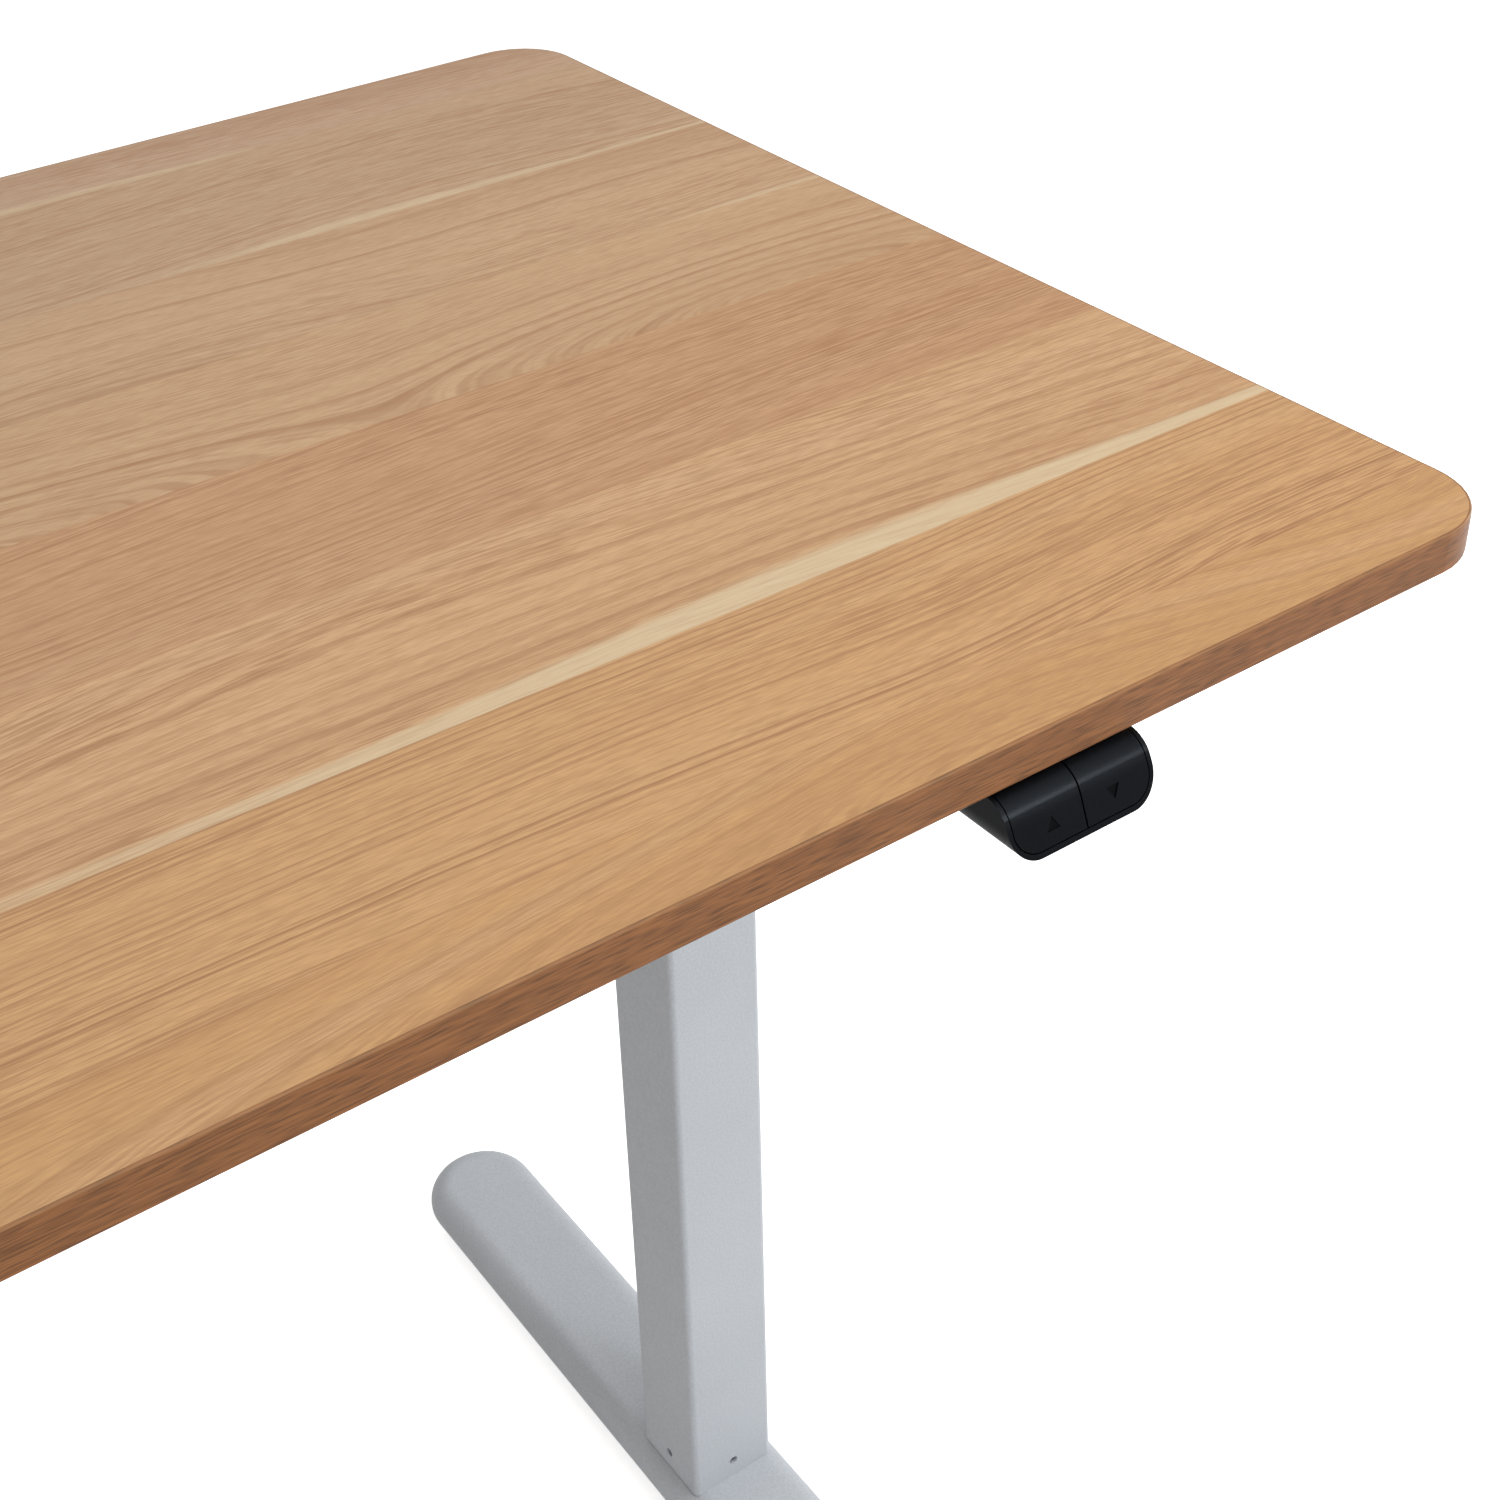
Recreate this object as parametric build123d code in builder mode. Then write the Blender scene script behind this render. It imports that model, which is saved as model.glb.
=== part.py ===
from build123d import *
# Height adjustable standing desk: a wood-effect top on two telescopic columns, raised by one motor
# Millimetres, +Z up, origin on the floor under the middle of the top, the user sits on the -Y side
import os
from math import cos, pi, radians, sin, sqrt, tan

os.makedirs("parts", exist_ok=True)

# Desktop
top_length = 1200.0
top_depth = 600.0
top_thickness = 15.0
top_corner_radius = 30.0
band_thickness = 1.0
band_edge_round = 0.7
desk_height = 725.0

# Columns
column_inset = 132.0
column_width = 50.0
column_wall = 1.5
column_corner = 3.0
inner_tube_width = 44.0
inner_tube_wall = 1.5
inner_tube_corner = 2.5
column_gap = 10.0
inner_tube_floor_gap = 24.0
bush_flange = 5.0
bush_sleeve = 35.0
glide_length = 50.0

# Feet
foot_length = 555.0
foot_width = 66.0
foot_height = 25.0
foot_wall = 2.0
foot_top_round = 14.0
foot_side_flat = 1.0
foot_lip = 2.0
foot_block_height = 30.0
foot_bolt_offset = 10.0
foot_bolt_depth = 18.0
foot_bolt_radius = 4.0
foot_bolt_head_height = 5.0
foot_bolt_head_radius = 6.5
column_screw_height = 12.0
column_screw_radius = 2.5
column_screw_length = 8.0

# Levelling feet
leveller_inset = 42.5
leveller_pad_radius = 16.0
leveller_pad_height = 10.7
leveller_stem_radius = 4.0
leveller_stem_length = 21.0
leveller_plate_length = 50.0
leveller_plate_thickness = 3.0
leveller_nut_radius = 8.0
leveller_nut_height = 8.0

# Spindle drive
spindle_radius = 7.0
journal_radius = 5.0
spindle_floor_gap = 34.0
nut_tube_radius = 12.0
nut_tube_wall = 2.0
nut_tube_seat = 10.0
nut_height = 25.0
nut_spigot = 15.0
nut_head_gap = 50.0
bearing_radius = 13.0
bearing_height = 8.0

# Bevel gears, all alike
gear_teeth = 16
gear_pitch_radius = 16.0
gear_face_width = 7.0
tooth_addendum = 1.4
tooth_dedendum = 2.0
tooth_tip_width = 1.3
tooth_root_width = 3.7
tooth_embed = 0.4
gear_back = 3.0
gear_hub_radius = 8.0
shaft_across_flats = 7.0
shaft_drop = 30.0

# Head brackets, rails and side arms
head_drop = 60.0
head_sheet = 3.0
head_channel_width = 84.0
head_inner_reach = 48.0
head_outer_reach = 94.0
rail_width = 40.0
rail_height = 20.0
rail_wall = 2.0
rail_corner = 2.0
rail_end_reach = 46.0
arm_reach = 72.0
arm_width = 40.0
arm_length = 520.0
arm_sheet = 2.5
arm_tip_height = 11.0
arm_flat_length = 200.0
arm_screw_end_gap = 40.0
arm_screw_spacing = 90.0
bolt_radius = 3.0
bolt_head_radius = 5.0
bolt_head_height = 4.0
bolt_length = 10.0
rail_bolt_spacing = 60.0

# Gear cases on the column heads
gear_case_wall = 3.0
gear_case_width = 48.0
gear_case_corner = 5.0
gear_case_outer_reach = 22.0
gear_case_inner_reach = 34.0
gear_case_drop = 8.0
pinion_wall = 7.0
pinion_bush_wall = 2.0
pinion_hub_proud = 2.0
spigot_wall = 3.5
spigot_lip = 3.0
spigot_lip_hole_radius = 9.0

# Motor and its worm gear case
motor_inset = 168.0
motor_case_thickness = 34.0
motor_case_width = 60.0
motor_case_corner = 8.0
motor_case_top_gap = 3.0
motor_case_cover = 3.0
motor_case_bottom_wall = 5.0
motor_flange = 6.0
motor_radius = 22.0
motor_length = 115.0
motor_edge_round = 3.0
worm_wheel_teeth = 30
worm_wheel_radius = 22.5
worm_tooth_depth = 2.2
worm_wheel_width = 12.0
worm_wheel_hub_radius = 7.0
worm_wheel_clearance = 1.5
worm_radius = 8.0

# Control box
box_motor_gap = 100.0
box_front_gap = 25.0
box_length = 220.0
box_width = 100.0
box_depth = 35.5
box_wall = 2.5
box_corner = 6.0
plate_thickness = 2.5
box_ear = 15.0
box_ear_spacing = 60.0
board_thickness = 1.6
board_margin = 8.0
post_height = 6.0
post_radius = 4.0
transformer_size = 40.0
transformer_height = 18.0
capacitor_radius = 8.0
capacitor_height = 20.0
inlet_offset = 24.0
inlet_width = 24.0
inlet_height = 16.0
inlet_depth = 14.0
inlet_wall = 2.0
inlet_flange = 2.5
inlet_flange_margin = 3.0
inlet_pin_length = 7.0
inlet_pin_size = 2.0
inlet_pin_pitch = 7.0
box_lead_offset = 25.0

# Handset
handset_inset = 193.6
handset_width = 56.6
handset_height = 21.0
handset_reach = 11.0
handset_depth = 60.0
handset_wall = 1.4
handset_lean = 22.0
handset_shoulder = 7.0
handset_lower_round = 2.0
handset_corner = 10.4
handset_base_set_back = 6.0
handset_ear = 16.0
handset_screw_spacing = 40.0
button_rim = 1.6
button_sill = 1.8
button_gap = 0.4
button_seam = 0.6
button_stroke = 1.0
button_corner = 8.8
button_over = 2.0
button_cap = 1.8
button_shoulder_cap = 6.5
button_shoulder_height = 8.0
button_stem_radius = 2.0
button_stem_gap = 1.3
arrow_offset = 12.0
arrow_low = 6.6
arrow_width = 5.0
arrow_height = 4.3
arrow_depth = 0.3
handset_board_depth = 9.0
handset_board_low = 7.5
handset_board_height = 11.0
handset_board_side_gap = 5.8
handset_post_width = 4.0
handset_post_spacing = 26.0

# Cables, clips and wood screws
cable_diameter = 5.0
cable_front_gap = 135.0
clip_count = 3
clip_end_gap = 100.0
clip_width = 8.0
clip_wall = 1.5
clip_ear = 12.0
wood_screw_radius = 1.9
wood_screw_length = 13.0
wood_screw_head_radius = 4.0
wood_screw_head_height = 2.5

# Clearances
slide_gap = 0.3
fit_gap = 0.05
bolt_gap = 0.25

# Heights and places worked out from the sizes above
underside = desk_height - top_thickness
seat_height = underside - plate_thickness
foot_bottom = leveller_pad_height + slide_gap
foot_top = foot_bottom + foot_height
foot_low_round = foot_height - foot_top_round - foot_side_flat
block_top = foot_top + foot_block_height
head_bottom = underside - head_drop
head_top = head_bottom + head_sheet
outer_top = head_bottom - column_gap
inner_bottom = block_top + inner_tube_floor_gap
rail_bottom = underside - rail_height
shaft_height = underside - shaft_drop
column_x = top_length / 2 - column_inset
front_edge = -top_depth / 2
arm_x = column_x + arm_reach
motor_x = motor_inset - column_x
box_left = motor_x + box_motor_gap
box_right = box_left + box_length
box_x = box_left + box_length / 2
head_half = head_channel_width / 2
flange_half = head_half + head_sheet + rail_width
box_y = -flange_half - box_front_gap - box_width / 2
handset_x = top_length / 2 - handset_inset
handset_back = front_edge + handset_depth
cable_line_y = front_edge + cable_front_gap
SIDES = {"right": 1, "left": -1}


def keep(piece, label):
    """Name a finished piece and write it to its own file."""
    piece.part.label = label
    export_step(piece.part, f"parts/{label}.step")


def mirrored(piece):
    """The left-hand twin of a right-hand piece."""
    with BuildPart() as twin:
        mirror(piece.part, about=Plane.YZ)
    return twin


def keep_pair(piece, name):
    """Keep a right-hand piece and its left-hand twin."""
    keep(piece, f"right_{name}")
    keep(mirrored(piece), f"left_{name}")


def square_tube(width, wall, corner, bottom, top):
    """An upright square tube on the right-hand column's axis."""
    with BuildPart() as tube:
        with BuildSketch(Plane.XY.offset(bottom)):
            with Locations((column_x, 0)):
                RectangleRounded(width, width, corner)
                RectangleRounded(width - 2 * wall, width - 2 * wall, corner - wall, mode=Mode.SUBTRACT)
        extrude(amount=top - bottom)
    return tube


# Places of the wood screws under the top
arm_screw_outer = arm_length / 2 - arm_screw_end_gap
arm_screw_inner = arm_screw_outer - arm_screw_spacing
arm_screw_ys = [-arm_screw_outer, -arm_screw_inner, arm_screw_inner, arm_screw_outer]
arm_screw_spots = [(sign * arm_x, y) for sign in SIDES.values() for y in arm_screw_ys]
handset_screw_y = handset_back + handset_ear / 2
handset_screw_xs = [handset_x + sign * handset_screw_spacing / 2 for sign in SIDES.values()]
handset_screw_spots = [(x, handset_screw_y) for x in handset_screw_xs]
box_screw_xs = [box_right + box_ear / 2, box_left - box_ear / 2]
box_screw_ys = [box_y + sign * box_ear_spacing / 2 for sign in SIDES.values()]
box_screw_spots = [(x, y) for x in box_screw_xs for y in box_screw_ys]
clip_pitch = (handset_x - box_right - 2 * clip_end_gap) / (clip_count - 1)
clip_xs = [box_right + clip_end_gap + number * clip_pitch for number in range(clip_count)]
clip_screw_y = cable_line_y + cable_diameter / 2 + clip_wall + clip_ear / 2
clip_screw_spots = [(x, clip_screw_y) for x in clip_xs]
wood_screw_spots = arm_screw_spots + handset_screw_spots + box_screw_spots + clip_screw_spots

# Desktop board, with a pilot hole for each wood screw
screw_bite = wood_screw_length - plate_thickness
board_corner = top_corner_radius - band_thickness
with BuildPart() as desktop_board:
    with BuildSketch(Plane.XY.offset(underside)):
        RectangleRounded(top_length - 2 * band_thickness, top_depth - 2 * band_thickness, board_corner)
    extrude(amount=top_thickness)
    with BuildSketch(Plane.XY.offset(underside)):
        with Locations(*wood_screw_spots):
            Circle(wood_screw_radius + fit_gap)
    extrude(amount=screw_bite + slide_gap, mode=Mode.SUBTRACT)
keep(desktop_board, "desktop_board")

# Edge band round the board, its outer corners eased
with BuildPart() as edge_band:
    with BuildSketch(Plane.XY.offset(underside)):
        RectangleRounded(top_length, top_depth, top_corner_radius)
        RectangleRounded(
            top_length - 2 * band_thickness,
            top_depth - 2 * band_thickness,
            board_corner,
            mode=Mode.SUBTRACT,
        )
    extrude(amount=top_thickness)
    level_faces = edge_band.faces().filter_by(Axis.Z)
    outer_edges = ShapeList([edge for face in level_faces for edge in face.outer_wire().edges()])
    fillet(outer_edges, band_edge_round)
keep(edge_band, "edge_band")

# Pressed feet: a shell with full-round ends and rolled edges, open underneath between two lips
foot_bolt_spots = [
    (column_x - foot_bolt_offset, -foot_bolt_offset),
    (column_x + foot_bolt_offset, foot_bolt_offset),
]
foot_floor_length = foot_length - 2 * foot_low_round
foot_floor_width = foot_width - 2 * foot_low_round
with BuildPart() as foot_hollow:
    with BuildSketch(Plane.XY.offset(foot_bottom + foot_wall)):
        with Locations((column_x, 0)):
            SlotOverall(foot_length - 2 * foot_wall, foot_width - 2 * foot_wall, rotation=90)
    extrude(amount=foot_height - 2 * foot_wall)
    fillet(foot_hollow.faces().sort_by(Axis.Z)[-1].edges(), foot_top_round - foot_wall)
    fillet(foot_hollow.faces().sort_by(Axis.Z)[0].edges(), foot_low_round - foot_wall)
    with BuildSketch(Plane.XY.offset(foot_bottom)):
        with Locations((column_x, 0)):
            SlotOverall(foot_floor_length - 2 * foot_lip, foot_floor_width - 2 * foot_lip, rotation=90)
    extrude(amount=foot_wall)

with BuildPart() as foot:
    with BuildSketch(Plane.XY.offset(foot_bottom)):
        with Locations((column_x, 0)):
            SlotOverall(foot_length, foot_width, rotation=90)
    extrude(amount=foot_height)
    fillet(foot.faces().sort_by(Axis.Z)[-1].edges(), foot_top_round)
    fillet(foot.faces().sort_by(Axis.Z)[0].edges(), foot_low_round)
    add(foot_hollow.part, mode=Mode.SUBTRACT)
    with BuildSketch(Plane.XY.offset(foot_top)):
        with Locations(*foot_bolt_spots):
            Circle(foot_bolt_radius + bolt_gap)
    extrude(amount=-foot_wall, mode=Mode.SUBTRACT)
keep_pair(foot, "foot")

# Foot blocks: the insert at the bottom of each column, bored for the bolts, side screws and nut tube
block_width = column_width - 2 * column_wall - 2 * fit_gap
with BuildPart() as foot_block:
    with BuildSketch(Plane.XY.offset(foot_top)):
        with Locations((column_x, 0)):
            RectangleRounded(block_width, block_width, column_corner - column_wall)
    extrude(amount=foot_block_height)
    with BuildSketch(Plane.XY.offset(block_top)):
        with Locations((column_x, 0)):
            Circle(nut_tube_radius + fit_gap)
    extrude(amount=-nut_tube_seat, mode=Mode.SUBTRACT)
    with BuildSketch(Plane.XY.offset(foot_top)):
        with Locations(*foot_bolt_spots):
            Circle(foot_bolt_radius + fit_gap)
    extrude(amount=foot_bolt_depth + slide_gap, mode=Mode.SUBTRACT)
    with Locations((column_x, 0, foot_top + column_screw_height)):
        with PolarLocations(block_width / 2 - column_screw_length / 2, 4):
            Cylinder(
                column_screw_radius + fit_gap, column_screw_length, rotation=(0, 90, 0), mode=Mode.SUBTRACT
            )
keep_pair(foot_block, "foot_block")

# Bolts from inside each foot up into its block
with BuildPart() as foot_bolts:
    for sign in SIDES.values():
        spots = [(sign * x, y) for x, y in foot_bolt_spots]
        with BuildSketch(Plane.XY.offset(foot_top - foot_wall)):
            with Locations(*spots):
                Circle(foot_bolt_head_radius)
        extrude(amount=-foot_bolt_head_height)
        with BuildSketch(Plane.XY.offset(foot_top - foot_wall)):
            with Locations(*spots):
                Circle(foot_bolt_radius)
        extrude(amount=foot_wall + foot_bolt_depth)
        with BuildSketch(Plane.XY.offset(foot_top - foot_wall - foot_bolt_head_height)):
            with Locations(*spots):
                RegularPolygon(foot_bolt_radius / 2, 6)
        extrude(amount=foot_bolt_head_height / 2, mode=Mode.SUBTRACT)
keep(foot_bolts, "foot_bolts")

# Outer tubes, with a screw hole low on each face
outer_tube = square_tube(column_width, column_wall, column_corner, foot_top, outer_top)
with outer_tube:
    with Locations((column_x, 0, foot_top + column_screw_height)):
        for turn in ((90, 0, 0), (0, 90, 0)):
            Cylinder(column_screw_radius + fit_gap, 2 * column_width, rotation=turn, mode=Mode.SUBTRACT)
keep_pair(outer_tube, "outer_tube")

# Screws through those holes, sunk to the face of the block
with BuildPart() as column_screws:
    for sign in SIDES.values():
        with Locations((sign * column_x, 0, foot_top + column_screw_height)):
            with PolarLocations(block_width / 2 - column_screw_length / 2, 4):
                Cylinder(column_screw_radius, column_screw_length, rotation=(0, 90, 0))
            with PolarLocations(block_width / 2, 4):
                Cylinder(
                    column_screw_radius / 2, column_screw_length / 2, rotation=(0, 90, 0), mode=Mode.SUBTRACT
                )
keep(column_screws, "column_screws")

# Guide bushes: a collar on the outer tube and a sleeve inside it
bush_opening = inner_tube_width + 2 * slide_gap
bush_corner = inner_tube_corner + slide_gap
with BuildPart() as guide_bush:
    with BuildSketch(Plane.XY.offset(outer_top)):
        with Locations((column_x, 0)):
            RectangleRounded(column_width, column_width, column_corner)
    extrude(amount=bush_flange)
    with BuildSketch(Plane.XY.offset(outer_top)):
        with Locations((column_x, 0)):
            RectangleRounded(block_width, block_width, column_corner - column_wall)
    extrude(amount=-bush_sleeve)
    with BuildSketch(Plane.XY.offset(outer_top + bush_flange)):
        with Locations((column_x, 0)):
            RectangleRounded(bush_opening, bush_opening, bush_corner)
    extrude(amount=-bush_flange - bush_sleeve, mode=Mode.SUBTRACT)
keep_pair(guide_bush, "guide_bush")

# Inner tubes and the glides on their lower ends
inner_tube = square_tube(inner_tube_width, inner_tube_wall, inner_tube_corner, inner_bottom, head_bottom)
keep_pair(inner_tube, "inner_tube")
glide_width = column_width - 2 * column_wall - 2 * slide_gap
with BuildPart() as lower_glide:
    with BuildSketch(Plane.XY.offset(inner_bottom)):
        with Locations((column_x, 0)):
            RectangleRounded(glide_width, glide_width, inner_tube_corner)
            RectangleRounded(
                inner_tube_width + 2 * fit_gap,
                inner_tube_width + 2 * fit_gap,
                inner_tube_corner + fit_gap,
                mode=Mode.SUBTRACT,
            )
    extrude(amount=glide_length)
keep_pair(lower_glide, "lower_glide")

# Nut tubes on the foot blocks, and the spindle nuts on top of them
nut_top = head_bottom - nut_head_gap
nut_bottom = nut_top - nut_height
nut_tube_bore = nut_tube_radius - nut_tube_wall
with BuildPart() as nut_tube:
    with BuildSketch(Plane.XY.offset(block_top - nut_tube_seat)):
        with Locations((column_x, 0)):
            Circle(nut_tube_radius)
            Circle(nut_tube_bore, mode=Mode.SUBTRACT)
    extrude(amount=nut_bottom - block_top + nut_tube_seat)
keep_pair(nut_tube, "nut_tube")

with BuildPart() as spindle_nut:
    with BuildSketch(Plane.XY.offset(nut_bottom)):
        with Locations((column_x, 0)):
            Circle(nut_tube_radius)
    extrude(amount=nut_height)
    with BuildSketch(Plane.XY.offset(nut_bottom)):
        with Locations((column_x, 0)):
            Circle(nut_tube_bore - fit_gap)
    extrude(amount=-nut_spigot)
    with BuildSketch(Plane.XY.offset(nut_top)):
        with Locations((column_x, 0)):
            Circle(spindle_radius + fit_gap)
    extrude(amount=-nut_height - nut_spigot, mode=Mode.SUBTRACT)
keep_pair(spindle_nut, "spindle_nut")

# Levelling feet and the plates they screw into
leveller_y = foot_length / 2 - leveller_inset
leveller_spots = [(sign * column_x, end * leveller_y) for sign in SIDES.values() for end in (-1, 1)]
plate_seat = foot_bottom + foot_wall
plate_room_length = foot_floor_length - 2 * fit_gap
plate_room_width = foot_floor_width - 2 * fit_gap
with BuildPart() as leveller_plates:
    with BuildSketch(Plane.XY.offset(plate_seat)):
        with Locations(*leveller_spots):
            Rectangle(plate_room_width, leveller_plate_length)
        with Locations((column_x, 0), (-column_x, 0)):
            SlotOverall(plate_room_length, plate_room_width, rotation=90, mode=Mode.INTERSECT)
    extrude(amount=leveller_plate_thickness)
    with BuildSketch(Plane.XY.offset(plate_seat + leveller_plate_thickness)):
        with Locations(*leveller_spots):
            RegularPolygon(leveller_nut_radius, 6)
    extrude(amount=leveller_nut_height)
    with BuildSketch(Plane.XY.offset(plate_seat)):
        with Locations(*leveller_spots):
            Circle(leveller_stem_radius + fit_gap)
    extrude(amount=leveller_plate_thickness + leveller_nut_height, mode=Mode.SUBTRACT)
keep(leveller_plates, "leveller_plates")

leveller_names = ["right_front", "right_rear", "left_front", "left_rear"]
for name, spot in zip(leveller_names, leveller_spots):
    with BuildPart() as leveller:
        with BuildSketch(Plane.XY):
            with Locations(spot):
                Circle(leveller_pad_radius)
        extrude(amount=leveller_pad_height)
        chamfer(leveller.faces().sort_by(Axis.Z)[-1].edges(), leveller_pad_height / 3)
        with BuildSketch(Plane.XY.offset(leveller_pad_height)):
            with Locations(spot):
                Circle(leveller_stem_radius)
        extrude(amount=leveller_stem_length)
    keep(leveller, f"{name}_leveller")

# Head brackets: a hat-shaped channel on each inner tube, with a hole for the gear case's spigot
spigot_radius = bearing_radius + spigot_wall
head_length = head_inner_reach + head_outer_reach
rail_y = head_half + head_sheet + rail_width / 2
rail_bolt_xs = [
    column_x - head_inner_reach + bolt_head_radius + head_sheet,
    column_x - head_inner_reach + bolt_head_radius + head_sheet + rail_bolt_spacing,
]
rail_bolt_spots = [(x, end * rail_y) for x in rail_bolt_xs for end in (-1, 1)]
case_bolt_x = column_x - gear_case_inner_reach + bolt_head_radius
case_bolt_y = gear_case_width / 2 - bolt_head_radius
case_bolt_spots = [(case_bolt_x, end * case_bolt_y) for end in (-1, 1)]
with BuildPart() as head_bracket:
    with BuildSketch(Plane.YZ.offset(column_x - head_inner_reach)):
        with BuildLine():
            Polyline(
                (-flange_half, rail_bottom),
                (-flange_half, rail_bottom - head_sheet),
                (-head_half - head_sheet, rail_bottom - head_sheet),
                (-head_half - head_sheet, head_bottom),
                (head_half + head_sheet, head_bottom),
                (head_half + head_sheet, rail_bottom - head_sheet),
                (flange_half, rail_bottom - head_sheet),
                (flange_half, rail_bottom),
                (head_half, rail_bottom),
                (head_half, head_top),
                (-head_half, head_top),
                (-head_half, rail_bottom),
                close=True,
            )
        make_face()
    extrude(amount=head_length)
    with BuildSketch(Plane.XY.offset(head_bottom)):
        with Locations((column_x, 0)):
            Circle(spigot_radius + bolt_gap)
        with Locations(*case_bolt_spots):
            Circle(bolt_radius + bolt_gap)
    extrude(amount=head_sheet, mode=Mode.SUBTRACT)
    with BuildSketch(Plane.XY.offset(rail_bottom)):
        with Locations(*rail_bolt_spots):
            Circle(bolt_radius + bolt_gap)
    extrude(amount=-head_sheet, mode=Mode.SUBTRACT)
keep_pair(head_bracket, "head_bracket")

# Rails along the desk, on the flanges of the head brackets
rail_half = column_x + rail_end_reach
motor_bolt_spots = [(motor_x, end * rail_y) for end in (-1, 1)]
head_bolt_spots = [(sign * x, y) for sign in SIDES.values() for x, y in rail_bolt_spots]
all_rail_bolt_spots = head_bolt_spots + motor_bolt_spots
for name, end in {"front": -1, "rear": 1}.items():
    with BuildPart() as rail:
        with BuildSketch(Plane.YZ.offset(-rail_half)):
            with Locations((end * rail_y, underside - rail_height / 2)):
                RectangleRounded(rail_width, rail_height, rail_corner + rail_wall)
                RectangleRounded(
                    rail_width - 2 * rail_wall, rail_height - 2 * rail_wall, rail_corner, mode=Mode.SUBTRACT
                )
        extrude(amount=2 * rail_half)
        with BuildSketch(Plane.XY.offset(rail_bottom)):
            with Locations(*[spot for spot in all_rail_bolt_spots if spot[1] * end > 0]):
                Circle(bolt_radius + fit_gap)
        extrude(amount=rail_wall, mode=Mode.SUBTRACT)
    keep(rail, f"{name}_rail")

# Side arms: channels that carry the ends of the top, slimmer towards their tips
with BuildPart() as side_arm:
    with BuildSketch(Plane.YZ.offset(arm_x - arm_width / 2)):
        with BuildLine():
            Polyline(
                (-arm_length / 2, underside),
                (arm_length / 2, underside),
                (arm_length / 2, underside - arm_tip_height),
                (arm_flat_length / 2, rail_bottom),
                (-arm_flat_length / 2, rail_bottom),
                (-arm_length / 2, underside - arm_tip_height),
                close=True,
            )
        make_face()
    extrude(amount=arm_width)
    with BuildSketch(Plane.XY.offset(underside - arm_sheet)):
        with Locations((arm_x, 0)):
            Rectangle(arm_width - 2 * arm_sheet, arm_length)
    extrude(amount=-rail_height, mode=Mode.SUBTRACT)
    with BuildSketch(Plane.XY.offset(underside)):
        with Locations(*[(arm_x, y) for y in arm_screw_ys]):
            Circle(wood_screw_radius + bolt_gap)
    extrude(amount=-arm_sheet, mode=Mode.SUBTRACT)
keep_pair(side_arm, "side_arm")

# Gear cases: open-topped castings with a spigot for the spindle bearing
cover_top = underside - gear_case_drop
cover_bottom = cover_top - gear_case_wall
case_length = gear_case_outer_reach + gear_case_inner_reach
case_x = column_x + (gear_case_outer_reach - gear_case_inner_reach) / 2
cavity_length = case_length - gear_case_wall - pinion_wall
cavity_x = column_x + (gear_case_outer_reach - gear_case_wall - gear_case_inner_reach + pinion_wall) / 2
bearing_top = head_top
bearing_bottom = bearing_top - bearing_height
bush_radius = gear_hub_radius + pinion_bush_wall
with BuildPart() as gear_case:
    with BuildSketch(Plane.XY.offset(head_top)):
        with Locations((case_x, 0)):
            RectangleRounded(case_length, gear_case_width, gear_case_corner)
    extrude(amount=cover_bottom - head_top)
    with BuildSketch(Plane.XY.offset(head_top + gear_case_wall)):
        with Locations((cavity_x, 0)):
            RectangleRounded(
                cavity_length, gear_case_width - 2 * gear_case_wall, gear_case_corner - gear_case_wall
            )
    extrude(amount=cover_bottom - head_top, mode=Mode.SUBTRACT)
    with BuildSketch(Plane.XY.offset(head_top)):
        with Locations((column_x, 0)):
            Circle(spigot_radius)
    extrude(amount=-bearing_height - spigot_lip)
    with BuildSketch(Plane.XY.offset(bearing_bottom)):
        with Locations((column_x, 0)):
            Circle(bearing_radius + fit_gap)
    extrude(amount=bearing_height + gear_case_wall, mode=Mode.SUBTRACT)
    with BuildSketch(Plane.XY.offset(bearing_bottom)):
        with Locations((column_x, 0)):
            Circle(spigot_lip_hole_radius)
    extrude(amount=-spigot_lip, mode=Mode.SUBTRACT)
    with BuildSketch(Plane.YZ.offset(column_x - gear_case_inner_reach)):
        with Locations((0, shaft_height)):
            Circle(bush_radius + fit_gap)
    extrude(amount=pinion_wall, mode=Mode.SUBTRACT)
    with BuildSketch(Plane.XY.offset(head_top)):
        with Locations(*case_bolt_spots):
            Circle(bolt_radius + fit_gap)
    extrude(amount=bolt_length, mode=Mode.SUBTRACT)
keep_pair(gear_case, "gear_case")

with BuildPart() as gear_covers:
    with BuildSketch(Plane.XY.offset(cover_bottom)):
        with Locations((case_x, 0), (-case_x, 0)):
            RectangleRounded(case_length, gear_case_width, gear_case_corner)
    extrude(amount=gear_case_wall)
keep(gear_covers, "gear_covers")

# Bearings: one ring under each spindle gear, one bush round each pinion's hub
with BuildPart() as gearbox_bearings:
    with BuildSketch(Plane.XY.offset(bearing_bottom)):
        with Locations((column_x, 0), (-column_x, 0)):
            Circle(bearing_radius)
            Circle(journal_radius + fit_gap, mode=Mode.SUBTRACT)
    extrude(amount=bearing_height)
    for sign in SIDES.values():
        with BuildSketch(Plane.YZ.offset(sign * (column_x - gear_case_inner_reach))):
            with Locations((0, shaft_height)):
                Circle(bush_radius)
                Circle(gear_hub_radius + fit_gap, mode=Mode.SUBTRACT)
        extrude(amount=sign * pinion_wall)
keep(gearbox_bearings, "gearbox_bearings")

# Bevel gears: both of a pair share one apex, where the spindle's and the shaft's axes cross
cone_length = gear_pitch_radius * sqrt(2)
small_end = (cone_length - gear_face_width) / cone_length
root_drop = tooth_dedendum / sqrt(2)
root_radius = gear_pitch_radius - root_drop
root_depth = gear_pitch_radius + root_drop
gear_length = root_depth + gear_back


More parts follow.
